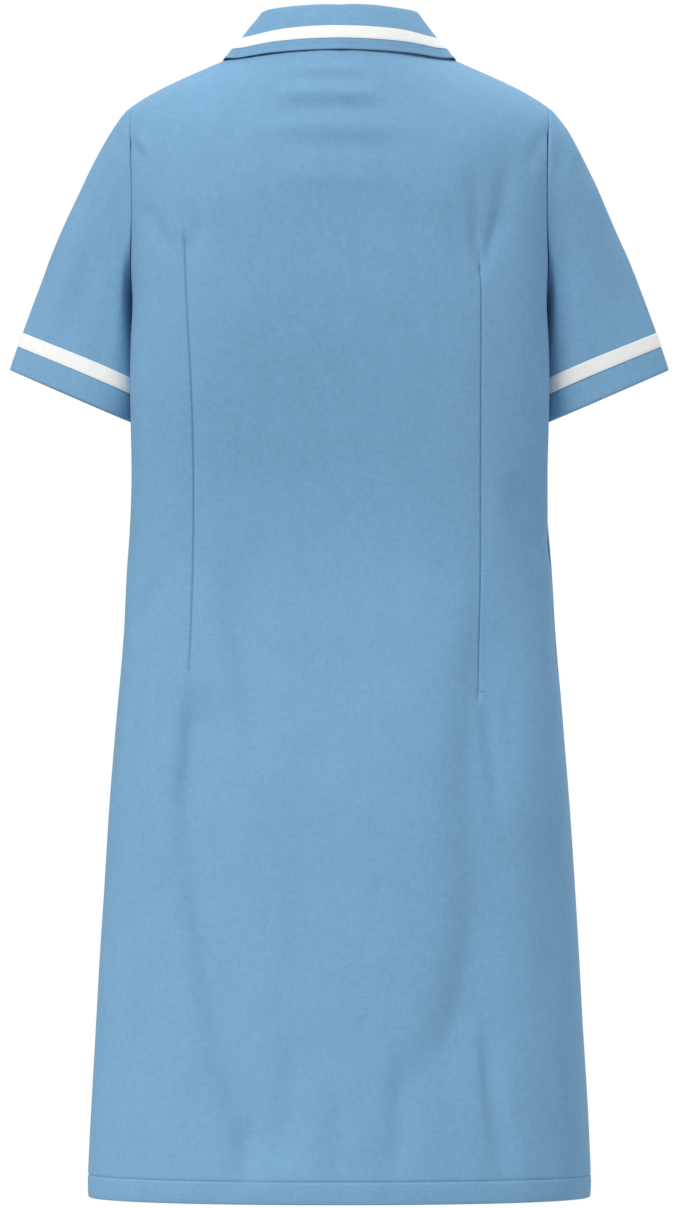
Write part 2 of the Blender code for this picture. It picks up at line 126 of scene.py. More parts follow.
def smooth(keys: Array, values: Array, at: Array) -> Array:
    """Read a smooth curve through points of a table.

    Args:
        keys: Rising keys of the points.
        values: Value at each key, with any further axes last.
        at: Keys to read at.

    Returns:
        The values there.
    """
    keys, values, at = (np.asarray(each, float) for each in (keys, values, at))
    slopes = np.gradient(values, keys, axis=0)
    i = np.clip(np.searchsorted(keys, at, side="right") - 1, 0, len(keys) - 2)
    step = keys[i + 1] - keys[i]
    t = np.clip((at - keys[i]) / step, 0, 1)
    if values.ndim > 1:
        step, t = step[..., None], t[..., None]
    return hermite(values[i], values[i + 1], slopes[i] * step, slopes[i + 1] * step, t)


def unit(vectors: Array) -> Array:
    """Return the same vectors, each one long."""
    return vectors / np.linalg.norm(vectors, axis=-1, keepdims=True)


def ease(t: Array) -> Array:
    """Return a smooth step from 0 to 1 as t goes from 0 to 1."""
    t = np.clip(t, 0, 1)
    return t * t * (3 - 2 * t)


def run_out(along: Array, share: float) -> Array:
    """Return 1 along the middle of a line, and less over this share of it at each end."""
    return ease(along / share) * ease((1 - along) / share)


def bell(t: Array) -> Array:
    """Return a smooth bump that is 1 high where t is 0."""
    return np.exp(-(t**2))


def along_line(points: Array) -> Array:
    """Return how far along a line each of its points is."""
    return np.concatenate([[0], np.cumsum(np.linalg.norm(np.diff(points, axis=0), axis=1))])


def circle(sides: int, radius: float, x: float, y: float, z: float) -> list[Point3]:
    """Return the corners of a level polygon round the point x, y, z."""
    turns = np.arange(sides) * 2 * pi / sides
    return [(x + radius * cos(t), y + radius * sin(t), z) for t in turns]


@dataclass(frozen=True)
class Crease:
    """A soft trough in the cloth, or a ridge where its depth is below zero.

    Attributes:
        path: Points (x, drop) along it, as seen from behind or in front.
        reach: Its half width.
        depth: How deep it is at most.
        steep: How wide its +X side is, as a share of the other.
        fade: Share of its length over which each end runs out.
        PATH_POINTS: Points that its path is drawn out to.
        REACHES_AWAY: How many half widths away it is no longer felt.
    """

    path: tuple[Point, ...]
    reach: float
    depth: float
    steep: float = 1.0
    fade: float = 0.35

    PATH_POINTS: ClassVar[int] = 17
    REACHES_AWAY: ClassVar[float] = 3.0

    def sink(self, x: Array, drop: Array) -> Array:
        """How far the cloth lies below its plain form.

        Args:
            x: X of the points.
            drop: Their drop.

        Returns:
            The depth at each point.
        """
        path = np.array(self.path, float)
        length = along_line(path)
        line = smooth(length, path, np.linspace(0, length[-1], self.PATH_POINTS))
        start, step = line[:-1], np.diff(line, axis=0)
        away = self.REACHES_AWAY * self.reach
        low, high = line.min(axis=0) - away, line.max(axis=0) + away
        near = (x > low[0]) & (x < high[0]) & (drop > low[1]) & (drop < high[1])
        offset = np.stack([x[near], drop[near]], axis=-1)[:, None] - start
        t = np.clip((offset * step).sum(-1) / (step**2).sum(-1), 0, 1)
        gap = offset - t[..., None] * step
        distance = np.linalg.norm(gap, axis=-1)
        rows = np.arange(len(distance))
        best = distance.argmin(axis=1)
        along = (best + t[rows, best]) / len(step)
        fade = run_out(along, self.fade)
        across = np.where(gap[rows, best, 0] > 0, self.reach * self.steep, self.reach)
        depth = np.zeros(x.shape)
        depth[near] = self.depth * fade * bell(distance[rows, best] / across)
        return depth


@dataclass(frozen=True)
class Dart:
    """A double-pointed dart: a sharp sewn line between two points, pulled in a little.

    Attributes:
        path: Points (x, drop) down it, with x on the wearer's left.
        groove: Half width and depth of the sewn line.
        pull: Half width and depth of the hollow beside it.
        groove_fade: Share of its length over which each end runs out.
        pull_fade: The same for the hollow.
        pucker: Height of the small waves along it.
        pucker_length: Length of one wave.
        pucker_drift: How many radians they drift, and over what length.
        tack: Half width, half height and depth of the dip at each point.
    """

    path: tuple[Point, ...]
    groove: Point = (0.8, 1.5)
    pull: Point = (9.0, 0.9)
    groove_fade: float = 0.04
    pull_fade: float = 0.3
    pucker: float = 0.12
    pucker_length: float = 17.0
    pucker_drift: Point = (1.7, 41.0)
    tack: Point3 = (2.0, 4.5, 2.2)

    def x_at(self, drop: Array) -> Array:
        """Return the dart's x at each drop, carried on straight past its points."""
        x, drops = np.array(self.path).T
        return smooth(drops, x, drop)

    def sink(self, x: Array, drop: Array) -> Array:
        """How far the cloth lies below its plain form.

        Args:
            x: Distance of the points from the centre line.
            drop: Their drop.

        Returns:
            The depth at each point.
        """
        first, last = self.path[0][1], self.path[-1][1]
        along = (drop - first) / (last - first)
        inside = run_out(along, self.groove_fade)
        distance = x - self.x_at(drop)
        groove = self.groove[1] * inside * bell(distance / self.groove[0])
        drift = self.pucker_drift[0] * np.sin(drop / self.pucker_drift[1])
        wave = np.sin(drop * 2 * pi / self.pucker_length + drift)
        pull = self.pull[1] * run_out(along, self.pull_fade) + self.pucker * inside * wave
        width, height, depth = self.tack
        across = -((distance / width) ** 2)
        tacks = sum(np.exp(across - ((drop - end) / height) ** 2) for end in (first, last))
        return groove + depth * tacks + pull * bell(distance / self.pull[0])


@dataclass(frozen=True)
class Level:
    """One level section of the body.

    Attributes:
        drop: Distance below the origin.
        side: Half width.
        back: How far the centre back stands from the side seam's plane.
        front: The same for the centre front.
        back_square: How square the back half is, where 2 is an ellipse.
        front_square: The same for the front half.
        press: How far the side is pressed in below the sleeve.
    """

    drop: float
    side: float
    back: float
    front: float
    back_square: float
    front_square: float
    press: float


LEVELS = (
    Level(130, 193, 116, 90, 2.5, 2.5, 0),
    Level(150, 192, 117, 98, 2.6, 2.5, 0),
    Level(190, 189, 119, 116, 2.8, 2.6, 5),
    Level(232, 187, 119, 131, 3.0, 2.7, 14),
    Level(265, 189, 116, 137, 3.1, 2.8, 19),
    Level(300, 190, 111, 134, 3.2, 2.8, 21),
    Level(343, 189.5, 104, 127, 3.2, 2.7, 19),
    Level(400, 188, 96, 117, 3.0, 2.6, 6),
    Level(460, 188.5, 94, 112, 2.7, 2.5, 0),
    Level(530, 192.4, 103, 115, 2.6, 2.4, 0),
    Level(600, 198.4, 115, 121, 2.5, 2.4, 0),
    Level(680, 205, 124, 126, 2.4, 2.3, 0),
    Level(760, 210, 128, 130, 2.3, 2.3, 0),
    Level(860, 216, 132, 133, 2.25, 2.2, 0),
    Level(960, 221.6, 136, 137, 2.2, 2.2, 0),
    Level(1024, 224.4, 138, 139, 2.2, 2.2, 0),
)


def read(rows: tuple, name: str, at: Array, key: str = "drop") -> Array:
    """Read one column of a table of rows, smoothly between them.

    Args:
        rows: The table.
        name: Field to read.
        at: Keys to read it at.
        key: Field that holds the keys.

    Returns:
        The values there.
    """
    keys = [getattr(row, key) for row in rows]
    return smooth(keys, [getattr(row, name) for row in rows], at)


@dataclass(frozen=True)
class Half:
    """The back or the front half of the body, from its centre line to the side seam.

    Attributes:
        name: "back" or "front".
        facing: Sign of Y there.
        neck_depth: How far the neckline dips from the shoulder seam.
        neck_leave: Direction in which it leaves the neckline's middle.
        darts: One dart on the wearer's left and one on the right.
        creases: Its creases.
    """

    name: str
    facing: int
    neck_depth: float
    neck_leave: Point
    darts: dict[Side, Dart]
    creases: tuple[Crease, ...]

    def shape(self, drop: Array) -> tuple[Array, Array, Array]:
        """Return the half width, centre depth and curve power of the section at each drop."""
        power = 2 / read(LEVELS, self.name + "_square", drop)
        return read(LEVELS, "side", drop), read(LEVELS, self.name, drop), power

    def angle_at(self, x: Array, drop: Array) -> Array:
        """Return the angle round the section of the point this far from the centre line."""
        half, _, power = self.shape(drop)
        return np.arcsin(np.clip(x / half, 0, 1) ** (1 / power))

    def edge_angle(self, drop: Array, inside: float = 0.0) -> Array:
        """Angle of the panel's edge, at the armhole or at the side seam below it.

        Args:
            drop: Drops to read it at.
            inside: How far inside the edge, measured along Y.

        Returns:
            The angle at each drop.
        """
        _, depth, power = self.shape(drop)
        fall = np.clip((drop - CHEST_DROP) / (UNDERARM_DROP - CHEST_DROP), 0, 1)
        edge = ARMHOLE_DEPTH * np.sqrt(1 - fall**2) + inside
        return np.arccos((edge / depth) ** (1 / power))

    def section(self, drop: Array, angle: Array) -> Array:
        """Points of the level sections.

        Args:
            drop: Drop of each section.
            angle: How far round from the centre line.

        Returns:
            The points.
        """
        half, depth, power = self.shape(drop)
        x = half * np.sin(angle) ** power
        y = depth * np.cos(angle) ** power
        x = x - read(LEVELS, "press", drop) * bell(y / PRESS_REACH) * x / half
        return np.stack([x, self.facing * y, -drop + 0 * x], axis=-1)

    def start_angle(self, strip: float, drop: Array) -> Array:
        """Return the angle of the centre strip's edge, or none where there is no strip."""
        return self.angle_at(strip, drop) if strip else 0 * drop

    def share_point(self, share: float, strip: float, drop: Array) -> Array:
        """Return the points at this share of the way from the centre strip to the edge."""
        start = self.start_angle(strip, drop)
        return self.section(drop, start + share * (self.edge_angle(drop) - start))

    def ridge(self, x: float) -> Array:
        """Point of the shoulder seam, or of its line over the neck opening.

        Args:
            x: X of the point.

        Returns:
            The point.
        """
        if x < NECK_HALF_WIDTH:
            return np.array([x, SHOULDER_SEAM_Y, NECK_RIDGE * (1 - (x / NECK_HALF_WIDTH) ** 2)])
        along = (x - NECK_HALF_WIDTH) / (SHOULDER_HALF_WIDTH - NECK_HALF_WIDTH)
        slope = (SHOULDER_DROP - SHOULDER_TIP_DROP) * along**SHOULDER_BOW
        tip = SHOULDER_TIP_DROP * along**SHOULDER_TIP_POWER
        return np.array([x, SHOULDER_SEAM_Y, -(slope + tip)])

    def dome(self, x: float, share: float, strip: float, steps: Array) -> Array:
        """Points over the shoulder, from the top edge to the chest.

        Args:
            x: X of the top end.
            share: Share round the chest of the lower end.
            strip: Half width of the centre strip.
            steps: Shares of the way down.

        Returns:
            One point for each step.
        """
        drops = CHEST_DROP + np.array([-CHEST_STEP, 0.0, CHEST_STEP])
        below = self.share_point(share, strip, drops)
        top, chest = self.ridge(x), below[1]
        run = np.linalg.norm(chest - top)
        inner = ease(1 - x / NECK_EASE)
        over = SHOULDER_LEAVE + inner * (np.array(self.neck_leave) - SHOULDER_LEAVE)
        leave = run * np.array([0, self.facing * over[0], over[1]])
        arrive = run * unit(below[2] - below[0])
        first = 0.0
        if x < NECK_HALF_WIDTH:
            way = np.linspace(0, 1, DOME_SAMPLES)
            depth = self.facing * hermite(top, chest, leave, arrive, way[:, None])[:, 1]
            inward = np.sqrt(1 - (x / NECK_HALF_WIDTH) ** 2)
            cut = self.facing * SHOULDER_SEAM_Y + self.neck_depth * inward
            first = np.interp(cut, depth, way)
        return hermite(top, chest, leave, arrive, (first + (1 - first) * steps)[:, None])

    def share_at(self, x: Array, strip: float) -> Array:
        """Return the share round the chest of the point this far from the centre line."""
        start, edge = self.start_angle(strip, CHEST_DROP), self.edge_angle(CHEST_DROP)
        return (self.angle_at(x, CHEST_DROP) - start) / (edge - start)

    def top_x(self, share: float, strip: float) -> float:
        """Where on the neckline or shoulder seam a column ends.

        Args:
            share: Share round the chest of the column.
            strip: Half width of the centre strip.

        Returns:
            X of its top end.
        """
        neck = self.share_at(NECK_HALF_WIDTH, strip)
        if share <= neck:
            first = np.arcsin(strip / NECK_HALF_WIDTH)
            return NECK_HALF_WIDTH * sin(first + (pi / 2 - first) * share / neck)
        chest = self.share_point(share, strip, np.array([CHEST_DROP]))[0, 0]
        inner = self.share_point(neck, strip, np.array([CHEST_DROP]))[0, 0]
        outer = self.share_point(1.0, strip, np.array([CHEST_DROP]))[0, 0]
        along = (chest - inner) / (outer - inner)
        return NECK_HALF_WIDTH + along * (SHOULDER_HALF_WIDTH - NECK_HALF_WIDTH)


@dataclass(frozen=True)
class Weave:
    """How finely the cloth of a body panel is divided.

    Attributes:
        dome: Shares of the way down from the top edge to the chest.
        inner: Columns between the centre line and the dart.
        outer: Columns between the dart and the edge.
        dart: Distances of the columns beside the dart.
        edge: Distances of the columns just inside an edge.
        armhole: Rows from the chest to the underarm.
        skirt: Rows from the underarm to the hem's stitches.
    """

    dome: tuple[float, ...] = (0, 0.004, 0.009, 0.016, *np.linspace(0.03, 1, 62))
    inner: int = 34
    outer: int = 30
    dart: tuple[float, ...] = (-3.4, -1.9, -1.1, -0.6, -0.25, 0, 0.25, 0.6, 1.1, 1.9, 3.4)
    edge: tuple[float, ...] = (2.8, 1.8, 1.0, 0.4, 0)
    armhole: int = 18
    skirt: int = 152

    def drops(self, hem: "Hem") -> Array:
        """Drop of each row from the chest down to the hem's fold.

        Args:
            hem: The hem that they end at.

        Returns:
            The drops.
        """
        armhole = np.linspace(CHEST_DROP, UNDERARM_DROP, self.armhole)
        skirt = np.linspace(UNDERARM_DROP, hem.line - hem.above, self.skirt)[1:]
        return np.concatenate([armhole, skirt, hem.rows()])


@dataclass(frozen=True)
class Hem:
    """A turned-up hem and the row of stitches that holds it.

    Attributes:
        fold: Drop of its lower edge.
        depth: How far it is turned up.
        wall: Thickness of the turned cloth.
        dimple: How deep the stitches pull the cloth in.
        curl: How far the fold turns in.
        above: How far above the stitches the last even row is.
        near: How far below the stitches the rows beside them are.
        below: How far below the stitches the rows down to the fold begin.
        last: Number of those rows.
    """

    fold: float
    depth: float
    wall: float = 2.0
    dimple: float = 0.9
    curl: float = 1.2
    above: float = 3.0
    near: tuple[float, ...] = (-1.4, -0.6, 0.0, 0.6, 1.4, 3.0)
    below: float = 6.5
    last: int = 5

    @property
    def line(self) -> float:
        """Drop of the row of stitches."""
        return self.fold - self.depth

    def rows(self) -> Array:
        """Return the drops of the rows at the stitches and below them."""
        even = np.linspace(self.line + self.below, self.fold, self.last)
        return np.concatenate([self.line + np.array(self.near), even])

    def sink(self, drop: Array) -> Array:
        """Return how far the stitches pull each row in, and how far the turned hem curls."""
        curl = self.curl * np.clip((drop - self.line) / self.depth, 0, 1) ** 2
        return self.dimple * bell((drop - self.line) / STITCH_GROOVE) + curl


SKIRT_HEM = Hem(fold=HEM_DROP, depth=19.0)

LEFT_BACK_LINE = (
    (136.4, 180), (135.8, 205), (134.4, 240), (132.5, 272),
    (130.3, 317), (129.4, 459), (131.5, 530), (132.5, 556),
)
RIGHT_BACK_LINE = ((125.1, 204), (125.0, 300), (125.0, 406), (125.5, 500), (126.0, 576))
BACK_DARTS = {Side.LEFT: Dart(LEFT_BACK_LINE), Side.RIGHT: Dart(RIGHT_BACK_LINE)}
FRONT_DARTS = {
    Side.LEFT: Dart(((96, 296), (97, 400), (98, 480), (99, 570))),
    Side.RIGHT: Dart(((96, 300), (97, 400), (98, 480), (99, 566))),
}

# The long soft folds that run from the right and left waist round to the hem.
RIGHT_FOLD = (
    (-143, 440), (-136, 510), (-126, 572), (-119, 665),
    (-124, 764), (-110, 849), (-88, 905), (-44, 952),
)
LEFT_FOLD = (
    (124, 556), (131, 620), (134, 665), (131, 731),
    (121, 796), (101, 903), (84, 958), (62, 1014),
)
# Path, half width, depth, steepness and fade of each crease.
BACK_CREASES = (
    Crease(RIGHT_FOLD, 44, 9.0, 0.5, 0.22),
    Crease(LEFT_FOLD, 32, 9.5, 0.5, 0.12),
    Crease(((133, 556), (137, 620), (142, 700)), 8, 2.6, 0.6),
    Crease(((106, 436), (88, 520), (74, 600), (64, 660)), 26, 6.5, 0.6),
    Crease(((30, 500), (19, 585), (10, 680)), 34, 2.8),
    # Across the back below the collar.
    Crease(((66, 28), (16, 26.5), (-34, 29)), 4.5, -1.2),
    Crease(((52, 36), (14, 34.5), (-32, 37)), 4.4, 1.2),
    Crease(((70, 50), (16, 48), (-46, 51.5)), 6.2, -2.3),
    Crease(((72, 64), (12, 61.5), (-52, 65)), 7.0, 3.1),
    Crease(((96, 82), (16, 79.5), (-78, 84)), 8.6, -2.2),
    Crease(((70, 99), (10, 96), (-62, 100)), 9.0, 1.3),
    Crease(((76, 124), (16, 121), (-56, 125)), 11.0, -1.4),
    Crease(((-176, 112), (0, 98), (176, 112)), 66, -5.0, 1.0, 0.25),
    # From the shoulders down to the darts.
    Crease(((186, 76), (175, 90), (162, 108)), 5.5, -2.4, 1.0, 0.5),
    Crease(((188, 80), (178, 96), (170, 110)), 5.0, 1.4),
    Crease(((-116, 96), (-120, 150), (-126, 214)), 9.5, 3.0, 0.8, 0.45),
    Crease(((-154, 80), (-146, 145), (-132, 216)), 10.0, 3.4, 1.0, 0.45),
    Crease(((-96, 134), (-103, 172), (-113, 206)), 7.0, 1.5),
    Crease(((-118, 158), (-121, 184), (-125, 212)), 4.2, 1.8, 1.0, 0.4),
    Crease(((-142, 146), (-136, 176), (-127, 212)), 4.6, 2.2, 1.0, 0.4),
    Crease(((-146, 40), (-144, 140), (-138, 240)), 30, 4.0, 1.0, 0.4),
    Crease(((-190, 70), (-178, 90), (-168, 120)), 7.0, 1.8),
    Crease(((176, 140), (160, 168), (140, 196)), 7.0, 2.2),
    Crease(((120, 150), (127, 176), (136, 204)), 5.5, 1.9),
    Crease(((137.4, 160), (136.8, 176), (136.2, 198)), 2.6, 1.7, 0.6, 0.4),
    Crease(((-124.6, 178), (-125.0, 192), (-125.1, 212)), 2.4, 1.1, 0.6, 0.4),
    # In the waist and the skirt.
    Crease(((-131, 850), (-135, 937), (-149, 1022)), 12, 4.4, 0.6),
    Crease(((-130, 566), (-137, 630), (-146, 700)), 9, 3.0, 0.7),
    Crease(((-150, 570), (-153, 600), (-156, 650)), 7, 1.6),
    Crease(((160, 470), (172, 500), (189, 532)), 9, 2.8, 0.7),
    Crease(((150, 560), (155, 593), (161, 640)), 8, 2.0, 0.7),
    Crease(((-146, 378), (-166, 426), (-188, 476)), 14, 5.0, 0.8),
    Crease(((60, 560), (40, 640), (26, 760), (40, 860)), 30, 2.4),
    Crease(((-60, 870), (-52, 950), (-50, 1015)), 15, 3.2, 0.7),
    Crease(((40, 860), (46, 940), (50, 1018)), 18, 3.4, 0.7),
    Crease(((170, 700), (176, 820), (182, 960)), 18, 3.2, 0.7),
    Crease(((-178, 640), (-186, 760), (-190, 900)), 16, 2.8),
    Crease(((4, 920), (0, 975), (-4, 1016)), 10, 1.8),
    Crease(((86, 945), (84, 985), (83, 1018)), 9, 2.0),
    Crease(((-36, 738), (-34, 748), (-33, 760)), 4, 0.9),
)
FRONT_CREASES = (
    Crease(((-92, 300), (-108, 560), (-104, 760), (-84, 1000)), 20, 5.0, 0.6, 0.25),
    Crease(((96, 310), (118, 620), (124, 820), (132, 1014)), 20, 5.0, 1.5, 0.25),
    Crease(((64, 640), (58, 820), (40, 1018)), 16, 3.2, 0.7),
    Crease(((-150, 96), (-132, 150), (-108, 208)), 9, 2.0),
    Crease(((154, 104), (134, 160), (112, 200)), 8, 1.8),
    Crease(((172, 232), (140, 250), (112, 262)), 7, 1.6),
    Crease(((-176, 236), (-146, 252), (-116, 270)), 8, 1.8),
    Crease(((-60, 120), (-48, 180), (-40, 240)), 12, 1.3),
    Crease(((52, 130), (44, 200), (36, 262)), 13, 1.2),
    Crease(((-172, 420), (-150, 452), (-126, 470)), 7, 1.8),
    Crease(((170, 400), (146, 436), (120, 462)), 7, 1.7),
    Crease(((-50, 700), (-58, 860), (-66, 1010)), 16, 2.6, 1.4),
    Crease(((-160, 620), (-172, 780), (-180, 960)), 16, 2.6),
    Crease(((168, 600), (176, 760), (186, 930)), 17, 2.4),
)
BACK = Half("back", 1, 52.0, (1.4, 0.0), BACK_DARTS, BACK_CREASES)
FRONT = Half("front", -1, 60.0, (0.3, -0.35), FRONT_DARTS, FRONT_CREASES)


def differences(grid: Array, closed: bool) -> tuple[Array, Array]:
    """Steps across and down a grid at each point.

    Args:
        grid: Points, as (row, column, 3).
        closed: Whether the last column joins the first.

    Returns:
        The steps across and the steps down.
    """
    if closed:
        wide = np.concatenate([grid[:, -1:], grid, grid[:, :1]], axis=1)
        across = (wide[:, 2:] - wide[:, :-2]) / 2
    else:
        across = np.gradient(grid, axis=1)
    return across, np.gradient(grid, axis=0)


def normals(grid: Array, inside: Array, closed: bool = False) -> Array:
    """Unit normal at each point of a grid, on its outer side.

    Args:
        grid: Points, as (row, column, 3).
        inside: A point, or points, on the inner side of the cloth.
        closed: Whether the last column joins the first.

    Returns:
        One normal for each point.
    """
    found = unit(np.cross(*differences(grid, closed)))
    return -found if np.sum(found * (grid - inside)) < 0 else found


def lengths(grid: Array, axis: int) -> Array:
    """Distance of each point from the grid's first row or column.

    Args:
        grid: Points, as (row, column, 3).
        axis: 0 to measure down the grid, 1 to measure across.

    Returns:
        The distances, measured along the grid.
    """
    steps = np.linalg.norm(np.diff(grid, axis=axis), axis=-1)
    pad = [(0, 0), (0, 0)]
    pad[axis] = (1, 0)
    return np.pad(np.cumsum(steps, axis=axis), pad)


def linked(name: str, data: ID) -> Object:
    """Put a mesh, lamp or camera in the scene.

    Args:
        name: Its name.
        data: The mesh, lamp or camera that it shows.

    Returns:
        The object, linked to the scene.
    """
    made = bpy.data.objects.new(name, data)
    bpy.context.scene.collection.objects.link(made)
    return made


def new_mesh(name: str, points: Array, faces: list) -> Mesh:
    """Make a mesh of points in millimetres.

    Args:
        name: Its name.
        points: Its points.
        faces: The corners of each face.

    Returns:
        The mesh, in metres.
    """
    mesh = bpy.data.meshes.new(name)
    mesh.from_pydata((np.array(points) * METRES).tolist(), [], faces)
    return mesh


def signed_volume(mesh: Mesh) -> float:
    """Volume inside a closed mesh.

    Args:
        mesh: The mesh.

    Returns:
        The volume, below zero where the faces point inwards.
    """
    mesh.calc_loop_triangles()
    points = np.zeros(len(mesh.vertices) * 3, np.float32)
    corners = np.zeros(len(mesh.loop_triangles) * 3, np.int32)
    mesh.vertices.foreach_get("co", points)
    mesh.loop_triangles.foreach_get("vertices", corners)
    a, b, c = points.reshape(-1, 3)[corners.reshape(-1, 3)].transpose(1, 0, 2).astype(float)
    return float((a * np.cross(b, c)).sum() / 6)


@dataclass
class Cloth:
    """The outer face of a cloth piece as a grid of points, and the wall behind it.

    Attributes:
        name: Name of the finished piece.
        outer: Points of the outer face, as (row, column, 3).
        facing: Outward normal at each point.
        wall: Thickness at each point.
        closed: Whether the last column joins the first.
    """

    name: str
    outer: Array
    facing: Array
    wall: Array
    closed: bool = False

    def rounded(self, outer: Array, inner: Array, away: Array) -> Array:
        """Rows of a half-round edge from the outer face to the inner one.

        Args:
            outer: Last row of the outer face.
            inner: Last row of the inner face.
            away: Direction in which the cloth ends there.

        Returns:
            Three rows between the two.
        """
        middle, half = (outer + inner) / 2, (outer - inner) / 2
        reach = np.linalg.norm(half, axis=-1, keepdims=True) * unit(away)
        turns = np.array([0.25, 0.5, 0.75])[:, None, None] * pi
        return middle + np.cos(turns) * half + np.sin(turns) * reach

    def build(self, material: Material) -> Object:
        """Make the closed shell, with round upper and lower edges and a UV map in metres.

        Args:
            material: Its finish.

        Returns:
            The finished object, linked to the scene.
        """
        inner = self.outer - self.facing * self.wall[..., None]
        foot = self.rounded(self.outer[-1], inner[-1], self.outer[-1] - self.outer[-2])
        head = self.rounded(inner[0], self.outer[0], self.outer[0] - self.outer[1])
        loop = np.concatenate([self.outer, foot, inner[::-1], head])
        faces = self.faces(len(loop), loop.shape[1])
        mesh = new_mesh(self.name, loop.reshape(-1, 3), faces)
        if signed_volume(mesh) < 0:
            mesh.flip_normals()
        self.add_uv(mesh, loop)
        mesh.shade_smooth()
        mesh.set_sharp_from_angle(angle=CLOTH_CORNER)
        mesh.materials.append(material)
        return linked(self.name, mesh)

    def faces(self, rows: int, columns: int) -> list[list[int]]:
        """Faces of the shell, whose rows run down its outer side and up its inner one.

        Args:
            rows: Points round one column.
            columns: Number of columns.

        Returns:
            The corners of each face.
        """
        index = np.arange(rows * columns).reshape(rows, columns)
        below = np.roll(index, -1, axis=0)
        right, right_below = np.roll(index, -1, axis=1), np.roll(below, -1, axis=1)
        walls = np.stack([index, below, right_below, right], axis=-1)
        if self.closed:
            return walls.reshape(-1, 4).tolist()
        faces = walls[:, :-1].reshape(-1, 4).tolist()
        heads, half = np.roll(index, 2, axis=0), rows // 2
        for column, step in ((0, -1), (columns - 1, 1)):
            line = heads[:, column].tolist()
            ends = [(line[0], line[1], line[-1]), (line[half - 1], line[half], line[half + 1])]
            for k in range(1, half - 1):
                ends.append((line[k], line[k + 1], line[rows - k - 1], line[rows - k]))
            faces += [list(end[::step]) for end in ends]
        return faces

    def add_uv(self, mesh: Mesh, loop: Array) -> None:
        """Lay a UV map on the shell, in metres along the weft and the warp.

        Args:
            mesh: Mesh of the shell.
            loop: Its points, round from the outer side to the inner one.
        """
        across, down = lengths(loop, 1), lengths(loop, 0)
        middle = loop.shape[1] // 2
        weft, warp = across - across[:, middle : middle + 1], down[-1:] - down
        flat = np.stack([weft, warp], axis=-1) * METRES
        corners = np.zeros(len(mesh.loops), np.int32)
        mesh.loops.foreach_get("vertex_index", corners)
        layer = mesh.uv_layers.new(name="weave")
        layer.data.foreach_set("uv", flat.reshape(-1, 2)[corners].astype(np.float32).ravel())


@dataclass(frozen=True)
class Lamp:
    """One soft lamp that lights the whole studio alike.

    Attributes:
        name: Its name.
        towards: Direction towards it.
        strength: Its strength.
        angle: How wide it looks, in degrees.
        tint: Its colour.
        distance: How many metres off it stands.
    """

    name: str
    towards: Point3
    strength: float
    angle: float
    tint: Point3
    distance: float = 3.0

    def build(self) -> None:
        """Make the lamp and turn it to the dress."""
        data = bpy.data.lights.new(self.name, "SUN")
        data.energy = self.strength
        data.angle = radians(self.angle)
        data.color = self.tint
        lamp = linked(self.name, data)
        lamp.location = Vector(self.towards) * self.distance
        lamp.rotation_euler = (-Vector(self.towards)).to_track_quat("-Z", "Y").to_euler()


LAMPS = (
    Lamp("key", (0.42, 0.56, 0.71), 2.45, 20.0, (1.0, 0.985, 0.96)),
    Lamp("side_fill", (-0.93, 0.05, -0.12), 0.70, 60.0, (0.97, 0.98, 1.0)),
    Lamp("front_fill", (-0.25, -0.55, 0.80), 1.70, 40.0, (0.98, 0.99, 1.0)),
)


